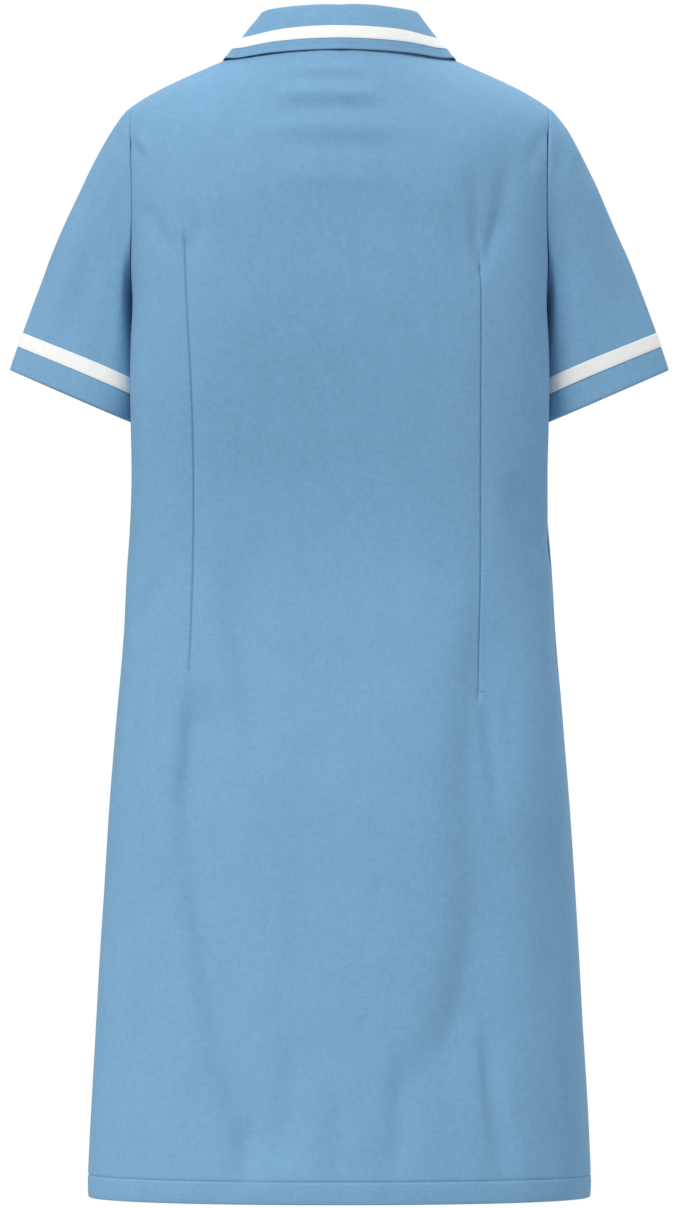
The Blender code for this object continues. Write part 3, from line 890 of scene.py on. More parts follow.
@dataclass(frozen=True)
class Studio:
    """The floor, the lights and the camera, level and square to the back of the dress.

    Attributes:
        look_drop: Drop of the middle of the picture.
        camera_y: Y of the camera.
        height: Height of the picture, measured over the origin.
        sensor: Side of the camera's sensor along the picture's height.
        floor_drop: Drop of the floor.
        floor_radius: Radius of the floor.
        floor_sides: Number of its edges.
        floor_colour: Its colour.
        floor_roughness: Its roughness.
        sky: Colour of the light from all round.
        sky_strength: Its strength.
    """

    look_drop: float = 498.0
    camera_y: float = 9000.0
    height: float = 1075.1
    sensor: float = 36.0
    floor_drop: float = 1330.0
    floor_radius: float = 2200.0
    floor_sides: int = 96
    floor_colour: Point3 = (0.55, 0.56, 0.57)
    floor_roughness: float = 0.9
    sky: Point3 = (0.90, 0.95, 1.0)
    sky_strength: float = 0.47

    def camera(self) -> None:
        """Make the camera and give it to the scene."""
        data = bpy.data.cameras.new("camera")
        data.sensor_width = self.sensor
        data.lens = self.sensor * self.camera_y / self.height
        data.clip_end = 200.0
        camera = linked("camera", data)
        camera.location = Vector((0, self.camera_y, -self.look_drop)) * METRES
        camera.rotation_euler = (pi / 2, 0, pi)
        bpy.context.scene.camera = camera

    def floor(self) -> None:
        """Lay a plain pale floor below the hem."""
        ring = circle(self.floor_sides, self.floor_radius, 0, 0, -self.floor_drop)
        mesh = new_mesh("floor", ring, [tuple(range(len(ring)))])
        material = bpy.data.materials.new("pale_floor")
        material.use_nodes = True
        shader = material.node_tree.nodes["Principled BSDF"]
        shader.inputs["Base Color"].default_value = (*self.floor_colour, 1)
        shader.inputs["Roughness"].default_value = self.floor_roughness
        mesh.materials.append(material)
        linked("floor", mesh)

    def backdrop(self) -> None:
        """Make the sky a weak soft light that looks plain white behind the dress."""
        world = bpy.data.worlds.new("studio")
        world.use_nodes = True
        nodes, links = world.node_tree.nodes, world.node_tree.links
        soft = nodes["Background"]
        soft.inputs["Color"].default_value = (*self.sky, 1)
        soft.inputs["Strength"].default_value = self.sky_strength
        white = nodes.new("ShaderNodeBackground")
        white.inputs["Color"].default_value = (1, 1, 1, 1)
        seen = nodes.new("ShaderNodeMixShader")
        links.new(nodes.new("ShaderNodeLightPath").outputs["Is Camera Ray"], seen.inputs[0])
        links.new(soft.outputs[0], seen.inputs[1])
        links.new(white.outputs[0], seen.inputs[2])
        links.new(seen.outputs[0], nodes["World Output"].inputs["Surface"])
        bpy.context.scene.world = world

    def build(self) -> None:
        """Set up the sky, the camera, the floor and the lamps."""
        self.backdrop()
        self.camera()
        self.floor()
        for lamp in LAMPS:
            lamp.build()
        bpy.context.scene.view_settings.view_transform = "Standard"


class Slot(Enum):
    """The record's material slots."""

    FABRIC = "blue_fabric"
    TAPE = "white_tape"
    BUTTON = "button_plastic"


def add_node(tree: NodeTree, kind: str, inputs: dict | None = None, **settings: object) -> Node:
    """Add one node to a tree.

    Args:
        tree: Tree to add it to.
        kind: Its type.
        inputs: Value, or socket to join, for each input by name or number.
        settings: Properties of the node itself.

    Returns:
        The node.
    """
    node = tree.nodes.new(kind)
    for name, value in settings.items():
        setattr(node, name, value)
    for name, value in (inputs or {}).items():
        if isinstance(value, NodeSocket):
            tree.links.new(value, node.inputs[name])
        else:
            node.inputs[name].default_value = value
    return node


class Graph:
    """A material's node tree, with its nodes added and joined by short calls."""

    def __init__(self, name: str) -> None:
        """Start a material whose only shader is a Principled BSDF.

        Args:
            name: Name of the material.
        """
        self.material = bpy.data.materials.new(name)
        self.material.use_nodes = True
        self.tree = self.material.node_tree
        self.shader = self.tree.nodes["Principled BSDF"]

    def add(self, kind: str, inputs: dict | None = None, **settings: object) -> Node:
        """Add one node, whose type is given without the leading "ShaderNode"."""
        return add_node(self.tree, "ShaderNode" + kind, inputs, **settings)

    def maths(self, operation: str, first: object, second: object = 0.0) -> NodeSocket:
        """Return the result of a sum on two sockets or numbers."""
        return self.add("Math", {0: first, 1: second}, operation=operation).outputs[0]

    def scaled(self, value: NodeSocket, factor: float, offset: float) -> NodeSocket:
        """Return a value times a factor plus an offset."""
        terms = {0: value, 1: factor, 2: offset}
        return self.add("Math", terms, operation="MULTIPLY_ADD").outputs[0]

    def noise(self, vector: NodeSocket, scale: Point3, detail: float = 2.0) -> NodeSocket:
        """Noise with a given number of spots a metre.

        Args:
            vector: Where it is read.
            scale: How many spots a metre it has along each axis.
            detail: How many finer layers it has.

        Returns:
            Its value, from 0 to 1.
        """
        spread = self.add("Mapping", {"Vector": vector, "Scale": scale}).outputs[0]
        inputs = {"Vector": spread, "Scale": 1.0, "Detail": detail}
        return self.add("TexNoise", inputs).outputs["Fac"]

    def tinted(self, colour: Point3, value: NodeSocket) -> NodeSocket:
        """Return a colour made brighter or darker by a value."""
        inputs = {"Value": value, "Color": (*colour, 1)}
        return self.add("HueSaturation", inputs).outputs[0]

    def shade(self, **values: object) -> None:
        """Set or join inputs of the shader.

        Args:
            values: Value, or socket to join, for each input, with _ for spaces.
        """
        for name, value in values.items():
            socket = self.shader.inputs[name.replace("_", " ")]
            if isinstance(value, NodeSocket):
                self.tree.links.new(value, socket)
            else:
                socket.default_value = value

    def shown(self, colour: Point3) -> Material:
        """Return the material, with a plain colour for the viewport."""
        self.material.diffuse_color = (*colour, 1)
        return self.material


@dataclass(frozen=True)
class WovenFinish:
    """Plain woven cloth or tape with slightly uneven threads.

    Attributes:
        name: Name of the material.
        colour: Its mean colour.
        thread: Distance between threads.
        uneven: How much the threads differ in brightness.
        slub: How much brighter or darker the yarn's thick and thin places are.
        mottle: How much larger patches differ in brightness.
        relief: Strength of the bump.
        roughness: Roughness of the cloth.
        spread: How many threads a streak is wide.
        streaks: How many streaks a metre there are along the warp and the weft.
        slubs: How many thick places a metre there are across and along yarn.
        patches: How many patches a metre there are along X, Y and Z.
        relief_height: Height of the bump.
        specular: How strongly the cloth mirrors.
        sheen: How strongly its nap shines.
        sheen_roughness: How soft that shine is.
    """

    name: str
    colour: Point3
    thread: float = 0.35
    uneven: float = 0.05
    slub: float = 0.17
    mottle: float = 0.05
    relief: float = 0.25
    roughness: float = 0.85
    spread: float = 2.2
    streaks: Point = (95.0, 120.0)
    slubs: Point = (430.0, 150.0)
    patches: Point3 = (42.0, 42.0, 26.0)
    relief_height: float = 0.1
    specular: float = 0.14
    sheen: float = 0.04
    sheen_roughness: float = 0.5

    def make(self) -> Material:
        """Make the material.

        Returns:
            The material.
        """
        graph = Graph(self.name)
        weave = graph.add("UVMap", uv_map="weave").outputs[0]
        place = graph.add("TexCoord").outputs["Object"]
        across = 1 / (self.spread * self.thread * METRES)
        warp = graph.noise(weave, (across, self.streaks[0], 1))
        weft = graph.noise(weave, (self.streaks[1], across, 1))
        fine, coarse = self.slubs
        slubs = graph.maths(
            "MAXIMUM",
            graph.noise(place, (fine, fine, coarse), 3.0),
            graph.noise(place, (coarse, coarse, fine), 3.0),
        )
        patches = graph.noise(place, self.patches, 4.0)
        threads = graph.maths("ADD", warp, weft)
        value = graph.scaled(threads, self.uneven, 1 - self.uneven)
        for layer, share in ((slubs, self.slub), (patches, self.mottle)):
            value = graph.maths("ADD", value, graph.scaled(layer, 2 * share, -share))
        parts, rate = graph.add("SeparateXYZ", {0: weave}), pi / (self.thread * METRES)
        turns = [graph.maths("MULTIPLY", parts.outputs[k], rate) for k in range(2)]
        waves = [graph.maths("SINE", turn) for turn in turns]
        height = graph.maths("ADD", graph.maths("MULTIPLY", *waves), threads)
        distance = self.relief_height * METRES
        bump = graph.add("Bump", {"Height": height, "Strength": self.relief, "Distance": distance})
        graph.shade(
            Base_Color=graph.tinted(self.colour, value),
            Normal=bump.outputs[0],
            Roughness=self.roughness,
            Specular_IOR_Level=self.specular,
            Sheen_Weight=self.sheen,
            Sheen_Roughness=self.sheen_roughness,
        )
        return graph.shown(self.colour)


@dataclass(frozen=True)
class ThreadFinish:
    """Sewing thread, twisted and a little glossy.

    Attributes:
        name: Name of the material.
        colour: Its mean colour.
        roughness: Roughness of the thread.
        uneven: How much brighter or darker its fibres are.
        fibres: How many fibres a metre there are.
    """

    name: str
    colour: Point3
    roughness: float = 0.55
    uneven: float = 0.08
    fibres: float = 900.0

    def make(self) -> Material:
        """Make the material.

        Returns:
            The material.
        """
        graph = Graph(self.name)
        place = graph.add("TexCoord").outputs["Object"]
        noise = graph.noise(place, (self.fibres,) * 3, 1.0)
        value = graph.scaled(noise, 2 * self.uneven, 1 - self.uneven)
        graph.shade(Base_Color=graph.tinted(self.colour, value), Roughness=self.roughness)
        return graph.shown(self.colour)


@dataclass(frozen=True)
class PearlFinish:
    """Polished pearly plastic, with soft clouds in its colour.

    Attributes:
        name: Name of the material.
        colour: Its mean colour.
        roughness: Roughness below the gloss.
        gloss: Strength of the polished coat.
        gloss_roughness: Roughness of that coat.
        cloud: How much brighter or darker the clouds are.
        clouds: How many clouds a metre there are along X, Y and Z.
    """

    name: str = "pearl_plastic"
    colour: Point3 = (0.74, 0.76, 0.77)
    roughness: float = 0.22
    gloss: float = 0.4
    gloss_roughness: float = 0.12
    cloud: float = 0.11
    clouds: Point3 = (260.0, 260.0, 520.0)

    def make(self) -> Material:
        """Make the material.

        Returns:
            The material.
        """
        graph = Graph(self.name)
        place = graph.add("TexCoord").outputs["Object"]
        noise = graph.noise(place, self.clouds, 3.0)
        value = graph.scaled(noise, 2 * self.cloud, 1 - self.cloud)
        graph.shade(
            Base_Color=graph.tinted(self.colour, value),
            Roughness=self.roughness,
            Coat_Weight=self.gloss,
            Coat_Roughness=self.gloss_roughness,
        )
        return graph.shown(self.colour)


@dataclass(frozen=True)
class Seam:
    """How a panel's edge rolls in at a seam, and how a fold edge is rounded.

    Attributes:
        reach: How far from the edge it begins.
        depth: How deep the edge lies.
    """

    reach: float = 1.7
    depth: float = 0.8

    def sink(self, distance: Array) -> Array:
        """Return how far the cloth rolls in at these distances from the edge."""
        return self.depth * np.clip(1 - distance / self.reach, 0, 1) ** 2


@dataclass(frozen=True)
class Stitches:
    """A row of stitches.

    Attributes:
        points: Where it runs.
        facing: Outward normal of the cloth at each point.
        closed: Whether its last point joins the first.
        crosswise: Whether its stitches lie across the row.
    """

    points: Array
    facing: Array
    closed: bool = False
    crosswise: bool = False

    def along(self) -> Array:
        """Direction of the stitch at each point.

        Returns:
            One direction for each point.
        """
        if self.closed:
            step = np.roll(self.points, -1, axis=0) - np.roll(self.points, 1, axis=0)
        else:
            step = np.gradient(self.points, axis=0)
        return unit(np.cross(self.facing, step)) if self.crosswise else unit(step)


def tape_on(cloth: Cloth, name: str, band: slice, wall: float) -> Cloth:
    """Tape that lies on some rows of a cloth.

    Args:
        cloth: The cloth below it.
        name: Name of the tape.
        band: Rows that it lies on.
        wall: Thickness of the tape.

    Returns:
        The tape.
    """
    facing = cloth.facing[band]
    outer = cloth.outer[band] + facing * (wall + TAPE_LIFT)
    return Cloth(name, outer, facing, np.full(outer.shape[:2], wall), cloth.closed)


def stitches_on(cloth: Cloth, row: int) -> Stitches:
    """Return the stitches along one row of a cloth."""
    return Stitches(cloth.outer[row], cloth.facing[row], cloth.closed)


def tape_stitches(tape: Cloth) -> list[Stitches]:
    """Stitches along the upper and the lower edge of a tape.

    Args:
        tape: The tape.

    Returns:
        The two rows.
    """
    rows = []
    for edge, inner in ((0, 1), (-1, -2)):
        line = tape.outer[edge] + (tape.outer[inner] - tape.outer[edge]) * 0.5
        rows.append(Stitches(line, tape.facing[edge], tape.closed))
    return rows


@dataclass(frozen=True)
class Waves:
    """Slight waves across and down the cloth that drift past each other.

    Attributes:
        height: Their height.
        lengths: How long a radian of the waves across and of those down is.
        drifts: How many radians each of the two drifts.
        drift_lengths: How long a radian of that drift is.
        start: Radians that the waves across begin with.
    """

    height: float
    lengths: Point
    drifts: Point
    drift_lengths: Point
    start: float = 0.0

    def sink(self, x: Array, drop: Array) -> Array:
        """How far the cloth lies below its plain form.

        Args:
            x: X of the points.
            drop: Their drop.

        Returns:
            The depth at each point.
        """
        drift_across = self.drifts[0] * np.sin(drop / self.drift_lengths[0])
        drift_down = self.drifts[1] * np.sin(x / self.drift_lengths[1])
        across = np.sin(x / self.lengths[0] + self.start + drift_across)
        return self.height * (across * np.sin(drop / self.lengths[1] + drift_down))


WIDE_WAVES = Waves(0.30, (33.0, 57.0), (1.3, 0.9), (71.0, 47.0))
FINE_WAVES = Waves(0.06, (15.5, 23.0), (1.0, 1.1), (43.0, 21.0), 2.0)


def slack(x: Array, drop: Array) -> Array:
    """Return how far cloth that hangs free lies below its plain form."""
    return WIDE_WAVES.sink(x, drop) + FINE_WAVES.sink(x, drop)


def mirrored(grid: Array) -> Array:
    """Return the same points on the wearer's other side."""
    return grid * np.array([-1, 1, 1])


@dataclass
class Body:
    """The back in one panel, and the two fronts, of which the right laps over the left.

    Attributes:
        weave: How finely the panels are divided.
        hem: Their hem.
        seam: How they roll in at their seams.
        fold: How the fronts' centre edge is rounded.
        strip: X of the columns beside the centre line of a left front.
        edge_stitch: Column with the right front's stitches.
        first_stitch: Row that they begin in.
        hangs_free: Drop from which the cloth hangs free, and over what length.
        shoulder_blend: Over what length the shoulder seam runs out at the neck.
        lap_wall: How much thicker the fronts are where they are turned in.
        lap_step: Over what length that sets in.
    """

    weave: Weave = Weave()
    hem: Hem = SKIRT_HEM
    seam: Seam = Seam()
    fold: Seam = Seam(0.9, 0.4)
    strip: tuple[float, ...] = (-15, -14.6, -14, -13.2, -10, -6, -3, 0, 3, 6, 10)
    edge_stitch: float = -10
    first_stitch: int = 2
    hangs_free: Point = (20.0, 90.0)
    shoulder_blend: float = 4.0
    lap_wall: float = 0.6
    lap_step: float = 2.0

    def side_grid(self, half: Half, side: Side, strip: float) -> Array:
        """Points of a half on one side of the centre line.

        Args:
            half: The back or the front.
            side: Side whose dart the columns follow.
            strip: Where the first column is.

        Returns:
            Grid (row, column, 3) with X on the wearer's left, from the centre outwards.
        """
        drops = self.weave.drops(self.hem)
        dart = half.darts[side].x_at(drops)[:, None]
        reach = self.weave.dart[-1]
        inner = strip + (dart - reach - strip) * np.arange(self.weave.inner) / self.weave.inner
        x = np.concatenate([inner, dart + np.array(self.weave.dart)], axis=1)
        first = half.angle_at(x, drops[:, None])
        edges = [half.edge_angle(drops, inside) for inside in self.weave.edge]
        share = np.arange(1, self.weave.outer) / self.weave.outer
        middle = first[:, -1:] + (edges[0][:, None] - first[:, -1:]) * share
        angle = np.concatenate([first, middle, np.array(edges).T], axis=1)
        lower = half.section(drops[:, None], angle)
        start, edge = half.start_angle(strip, drops[0]), half.edge_angle(drops[0])
        steps = np.array(self.weave.dome[:-1])
        domes = []
        for share in (angle[0] - start) / (edge - start):
            domes.append(half.dome(half.top_x(share, strip), share, strip, steps))
        return np.concatenate([np.array(domes).transpose(1, 0, 2), lower])

    def strip_grid(self, half: Half) -> Array:
        """Columns beside the centre line of a left front.

        Args:
            half: The front.

        Returns:
            Grid (row, column, 3), from the lap's fold to its far side.
        """
        drops = self.weave.drops(self.hem)
        columns = []
        for x in self.strip:
            upper = half.dome(abs(x), 0.0, abs(x), np.array(self.weave.dome[:-1]))
            lower = half.section(drops, half.angle_at(abs(x), drops))
            column = np.concatenate([upper, lower])
            column[:, 0] = x
            columns.append(column)
        return np.array(columns).transpose(1, 0, 2)

    def cloth(self, name: str, half: Half, grid: Array, lap: int) -> Cloth:
        """Shape one panel: its creases, darts, seams, hem and lap.

        Args:
            name: Name of the piece.
            half: The half that it is part of.
            grid: Its plain form.
            lap: Sign of X of its own side where it is a front, or 0 for the back.

        Returns:
            The shaped cloth.
        """
        facing = normals(grid, np.array([0, 0, -HEM_DROP / 2]))
        x, drop = grid[..., 0], -grid[..., 2]
        free = ease((drop - self.hangs_free[0]) / self.hangs_free[1])
        sink = slack(x, drop) * free + self.hem.sink(drop)
        for crease in half.creases:
            sink = sink + crease.sink(x, drop)
        for side, dart in half.darts.items():
            here = x * side.value > 2 * LAP
            sink = sink + np.where(here, dart.sink(np.abs(x), drop), 0)
        across, down = lengths(grid, 1), lengths(grid, 0)
        far, near = across[:, -1:] - across, across
        for distance, edge in ((far, grid[-1, -1, 0]), (near, grid[-1, 0, 0])):
            roll = self.seam if np.abs(edge) > 2 * LAP else self.fold
            sink = sink + roll.sink(distance)
        shoulder = ease((np.abs(grid[0, :, 0]) - NECK_HALF_WIDTH) / self.shoulder_blend)
        sink = sink + self.seam.sink(down) * shoulder
        turned = ease((drop - self.hem.line + HEM_STEP / 2) / HEM_STEP)
        wall = CLOTH + (self.hem.wall - CLOTH) * turned
        if lap:
            turned = ease((LAP + self.lap_step - np.abs(x)) / self.lap_step)
            wall = np.maximum(wall, CLOTH + self.lap_wall * turned)
        if lap > 0:
            under = ease((LAP + LAP_BLEND - x * lap) / LAP_BLEND)
            sink = sink + LAP_SINK * under
        outer = grid - facing * sink[..., None]
        outer[..., 1] += half.facing * BODY_GAP / 2
        return Cloth(name, outer, facing, wall)

    def panels(self) -> dict[str, Cloth]:
        """Shape the back and the two fronts.

        Returns:
            Each panel by the node that it stands for.
        """
        left, right = (self.side_grid(BACK, side, 0.0) for side in Side)
        back = np.concatenate([mirrored(right)[:, :0:-1], left], axis=1)
        strip = self.strip_grid(FRONT)
        left, right = (self.side_grid(FRONT, side, LAP) for side in Side)
        left = np.concatenate([strip, left], axis=1)
        right = mirrored(np.concatenate([strip, right], axis=1))
        return {
            "back": self.cloth("back_panel", BACK, back, 0),
            "front_left": self.cloth("left_front_panel", FRONT, left, 1),
            "front_right": self.cloth("right_front_panel", FRONT, right, -1),
        }

    def rows_of_stitches(self, panels: dict[str, Cloth]) -> list[Stitches]:
        """Rows of stitches on the body.

        Args:
            panels: The shaped panels by node.

        Returns:
            The hem's rows, that down the right front and the tacks of the darts.
        """
        line = np.abs(self.weave.drops(self.hem) - self.hem.line)
        row = len(self.weave.dome) - 1 + int(np.argmin(line))
        found = [stitches_on(cloth, row) for cloth in panels.values()]
        front = panels["front_right"]
        column = (slice(self.first_stitch, None), self.strip.index(self.edge_stitch))
        found.append(Stitches(front.outer[column], front.facing[column]))
        for name, half in (("back", BACK), ("front_left", FRONT), ("front_right", FRONT)):
            for side, dart in half.darts.items():
                x, drop = dart.path[-1]
                found.append(self.tack(panels[name], x * side.value, drop))
        return found

    def tack(self, cloth: Cloth, x: float, drop: float) -> Stitches:
        """A few stitches over each other where a dart ends.

        Args:
            cloth: The panel.
            x: X of the dart's end.
            drop: Its drop.

        Returns:
            The stitches.
        """
        flat = cloth.outer[..., [0, 2]] - np.array([x, -drop])
        nearest = np.unravel_index(np.argmin((flat**2).sum(-1)), flat.shape[:2])
        point, facing = cloth.outer[nearest], cloth.facing[nearest]
        steps = np.array([[-TACK_HALF_LENGTH, 0, 0], [TACK_HALF_LENGTH, 0, 0]])
        return Stitches(point + facing * TACK_LIFT + steps, np.array([facing, facing]))


# Direction in which a sleeve leaves the armhole, by degrees round it from the shoulder.
LEAVES = {
    0: (0.72, 0.0, -0.69),
    45: (0.62, -0.10, -0.78),
    90: (0.50, -0.40, -0.77),
    135: (0.50, -0.10, -0.86),
    180: (0.35, 0.0, -0.94),
    225: (0.50, 0.10, -0.86),
    270: (0.50, 0.40, -0.77),
    315: (0.62, 0.10, -0.78),
    360: (0.72, 0.0, -0.69),
}


@dataclass
class Sleeve:
    """One short sleeve and the tape sewn round it above its hem.

    Attributes:
        side: The wearer's side that it is on.
        back_creases: Creases on its back, with x on the wearer's left.
        front_creases: The same on its front.
        hem_centre: Middle of its hem's fold, on the wearer's left.
        slope: How far its hem slopes up outwards.
        cap_steeper: How much steeper its outer side arrives.
        half_width: Half the width of its hem.
        half_depth: Half the depth of its hem.
        fullness: How much deeper the hem is at its inner side.
        square: How square the hem's section is, where 1 is an ellipse.
        leave_share: How strongly it keeps the direction in which it leaves.
        arrive_share: The same for the one in which it arrives.
        columns: Number of columns round it.
        upper: Shares of the way from the armhole down to the rows round the tape.
        upper_foot: How far above the hem those rows end.
        first_row: How far above the hem the row over the tape is.
        armhole_points: Points that each side of the armhole is read at.
        hem_depth: How far its hem is turned up.
        hem_wall: Thickness of the turned cloth.
        hem_dimple: How deep the hem's stitches pull the cloth in.
        hem_rows: How far above its stitches the rows beside them are.
        fold_rows: Rows down to the fold.
        fold_below: How far below the stitches those rows begin.
        tape_top: How far above the hem the tape's upper edge is.
        tape_foot: The same for its lower edge.
        tape_rows: Rows on the tape.
        tape_wall: Thickness of the tape.
        seam: How it rolls in at the armhole.
        slack_share: How uneven it hangs, as a share of the body.
        slack_reach: How far below the armhole it hangs free.
        crease_blend: Over what depth the front's creases take over.
        underarm: Half width in columns and depth of the seam under the arm.
    """

    side: Side
    back_creases: tuple[Crease, ...]
    front_creases: tuple[Crease, ...]
    hem_centre: Point3 = (237.0, -1.0, -313.0)
    slope: float = radians(23.3)
    cap_steeper: float = 0.1
    half_width: float = 61.0
    half_depth: float = 45.0
    fullness: float = 0.38
    square: float = 0.75
    leave_share: float = 0.5
    arrive_share: float = 0.9
    columns: int = 136
    upper: tuple[float, ...] = (0, 0.005, 0.012, *np.linspace(0.025, 1, 56))
    upper_foot: float = 42.0
    first_row: float = 38.0
    armhole_points: int = 60
    hem_depth: float = 21.0
    hem_wall: float = 2.0
    hem_dimple: float = 0.3
    hem_rows: tuple[float, ...] = (0.6, 0.0, -0.6, -1.8)
    fold_rows: int = 7
    fold_below: float = 5.0
    tape_top: float = 34.2
    tape_foot: float = 22.2
    tape_rows: int = 6
    tape_wall: float = 0.5
    seam: Seam = Seam()
    slack_share: float = 0.6
    slack_reach: float = 25.0
    crease_blend: float = 24.0
    underarm: Point = (0.7, 0.6)

    @property
    def side_name(self) -> str:
        """Name of the side as the pieces' names have it."""
        return self.side.name.lower()

    def armhole(self) -> Array:
        """Points round the left armhole.

        Returns:
            One point for each column, from the shoulder round by the back.
        """
        halves = []
        even = np.linspace(0, 1, self.columns // 2 + 1)
        for half in (BACK, FRONT):
            steps = np.linspace(0, 1, self.armhole_points)
            upper = half.dome(SHOULDER_HALF_WIDTH, 1.0, 0.0, steps)
            turns = np.linspace(0, pi / 2, self.armhole_points)[1:]
            drops = CHEST_DROP + (UNDERARM_DROP - CHEST_DROP) * np.sin(turns)
            line = np.concatenate([upper, half.share_point(1.0, 0.0, drops)])
            length = along_line(line)
            at = even * length[-1]
            halves.append(np.stack([np.interp(at, length, line[:, k]) for k in range(3)], axis=-1))
        back, front = halves
        return np.concatenate([back, front[-2:0:-1]])

    def heights(self) -> Array:
        """How far above the hem the rows round the tape and the hem are.

        Returns:
            The distances, from the highest row down.
        """
        tape = np.linspace(self.tape_top, self.tape_foot, self.tape_rows)
        hem = self.hem_depth + np.array(self.hem_rows)
        fold = np.linspace(self.hem_depth - self.fold_below, 0, self.fold_rows)
        return np.concatenate([[self.first_row], tape, hem, fold])

    def grid(self) -> Array:
        """Plain form of the left sleeve.

        Returns:
            Grid (row, column, 3), from the armhole to the hem.
        """
        start = self.armhole() + np.array([SEAM_GAP, 0, 0])
        turns = np.arange(self.columns) * 2 * pi / self.columns
        across = np.array([cos(self.slope), 0, sin(self.slope)])
        axis = np.array([sin(self.slope), 0, -cos(self.slope)])
        heights = self.heights()
        columns = []
        for point, turn in zip(start, turns):
            rise = np.sign(sin(turn)) * abs(sin(turn)) ** self.square
            depth = self.half_depth * rise * (1 - self.fullness * cos(turn))
            ring = self.half_width * cos(turn) * across + np.array([0, depth, 0])
            end = np.array(self.hem_centre) + ring
            run = np.linalg.norm(end - point)
            leave = unit(smooth(list(LEAVES), list(LEAVES.values()), np.degrees(turn)))
            arrive = unit(axis - across * self.cap_steeper * (1 + cos(turn)) / 2)
            upper = np.array(self.upper) * (1 - self.upper_foot / run)
            steps = np.concatenate([upper, 1 - heights / run])[:, None]
            leave, arrive = leave * run * self.leave_share, arrive * run * self.arrive_share
            columns.append(hermite(point, end, leave, arrive, steps))
        return np.array(columns).transpose(1, 0, 2)

    def row_at(self, grid: Array, height: float) -> int:
        """Return the row of the grid at this height above the hem."""
        heights = self.heights()
        return len(grid) - len(heights) + int(np.argmin(np.abs(heights - height)))

    def cloth(self) -> Cloth:
        """Shape the sleeve: its creases, seams and hem.

        Returns:
            The sleeve, on its own side.
        """
        grid = self.grid()
        facing = normals(grid, grid.mean(axis=1, keepdims=True), closed=True)
        x, y, drop = grid[..., 0], grid[..., 1], -grid[..., 2]
        down = lengths(grid, 0)
        above = down[-1] - down
        free = self.slack_share * slack(x + y, drop) * ease(down / self.slack_reach)
        sink = self.seam.sink(down) + free
        for creases, sign in ((self.back_creases, 1), (self.front_creases, -1)):
            share = ease(0.5 + sign * y / self.crease_blend)
            for crease in creases:
                sink = sink + crease.sink(x, drop) * share
        away, (width, depth) = np.arange(self.columns) - self.columns // 2, self.underarm
        sink = sink + depth * bell(away / width)
        sink = sink + self.hem_dimple * bell((above - self.hem_depth) / STITCH_GROOVE)
        turned = ease((self.hem_depth + HEM_STEP / 2 - above) / HEM_STEP)
        wall = CLOTH + (self.hem_wall - CLOTH) * turned
        outer = grid - facing * sink[..., None]
        if self.side is Side.RIGHT:
            outer, facing = mirrored(outer), mirrored(facing)
        return Cloth(f"{self.side_name}_sleeve", outer, facing, wall, closed=True)

    def tape(self, cloth: Cloth) -> Cloth:
        """Tape that lies round the sleeve.

        Args:
            cloth: The shaped sleeve.

        Returns:
            The tape.
        """
        first = self.row_at(cloth.outer, self.tape_top)
        band = slice(first, self.row_at(cloth.outer, self.tape_foot) + 1)
        return tape_on(cloth, f"{self.side_name}_sleeve_tape", band, self.tape_wall)

    def hem_stitches(self, cloth: Cloth) -> Stitches:
        """Return the row of stitches that holds the hem."""
        return stitches_on(cloth, self.row_at(cloth.outer, self.hem_depth))


LEFT_SLEEVE = Sleeve(
    Side.LEFT,
    (
        Crease(((226, 130), (240, 190), (260, 270)), 12, -2.4),
        Crease(((199, 74), (195, 86), (190, 104)), 4.0, 1.3, 1.0, 0.5),
        Crease(((214, 108), (219, 180), (226, 262)), 13, 1.8),
        Crease(((258, 180), (270, 236), (282, 288)), 10, 1.8),
        Crease(((196, 190), (206, 250), (216, 310)), 8, 0.9),
    ),
    (
        Crease(((226, 112), (232, 176), (240, 260)), 10, 1.1),
        Crease(((200, 180), (208, 240), (216, 300)), 8, 0.9),
        Crease(((250, 150), (262, 210), (270, 270)), 8, -0.6),
    ),
)
RIGHT_SLEEVE = Sleeve(
    Side.RIGHT,
    (
        Crease(((194, 64), (203, 84), (214, 112)), 5, -1.6),
        Crease(((194, 84), (196, 100), (196, 124)), 5.5, 1.8, 1.0, 0.5),
        Crease(((206, 186), (212, 240), (218, 300)), 16, -2.6),
        Crease(((240, 120), (252, 190), (266, 270)), 24, 3.4),
        Crease(((192, 170), (200, 240), (206, 310)), 7, 0.9),
    ),
    (
        Crease(((222, 118), (228, 180), (238, 256)), 11, 1.2),
        Crease(((196, 176), (204, 236), (212, 296)), 8, 0.9),
        Crease(((252, 160), (260, 210), (268, 262)), 8, -0.6),
    ),
    hem_centre=(237.0, -9.0, -313.0),
    half_depth=40.0,
    fullness=0.42,
)


@dataclass(frozen=True)
class Station:
    """The collar's section at one turn from the centre back, 0, to the centre front, 180.

    Attributes:
        turn: Degrees round the neck.
        stand: Height of the stand.
        lean: How far the stand leans to the neck.
        bulge: How far the fall bulges.
        edge_x: X of its outer edge.
        edge_y: Y of its outer edge.
        edge_z: Z of its outer edge.
    """

    turn: float
    stand: float
    lean: float
    bulge: float
    edge_x: float
    edge_y: float
    edge_z: float


STATIONS = (
    Station(0, 25, 4.0, 2.0, 0, 77.6, -7.2),
    Station(15, 26.5, 4.0, 2.0, 29.2, 71.6, -7.9),
    Station(30, 28, 4.0, 2.0, 55, 59.4, -9.2),
    Station(60, 29.5, 5.5, 0.5, 89.2, 30.4, -12.6),
    Station(90, 28, 6.0, -0.5, 103.5, 3, -13.7),
    Station(115, 25, 3.0, 5.0, 99.4, -33.0, -28.6),
    Station(145, 17, 1.0, 6.0, 77.8, -63.6, -70),
    Station(180, 8, 0.5, 3.0, 43, -85.6, -117.5),
)


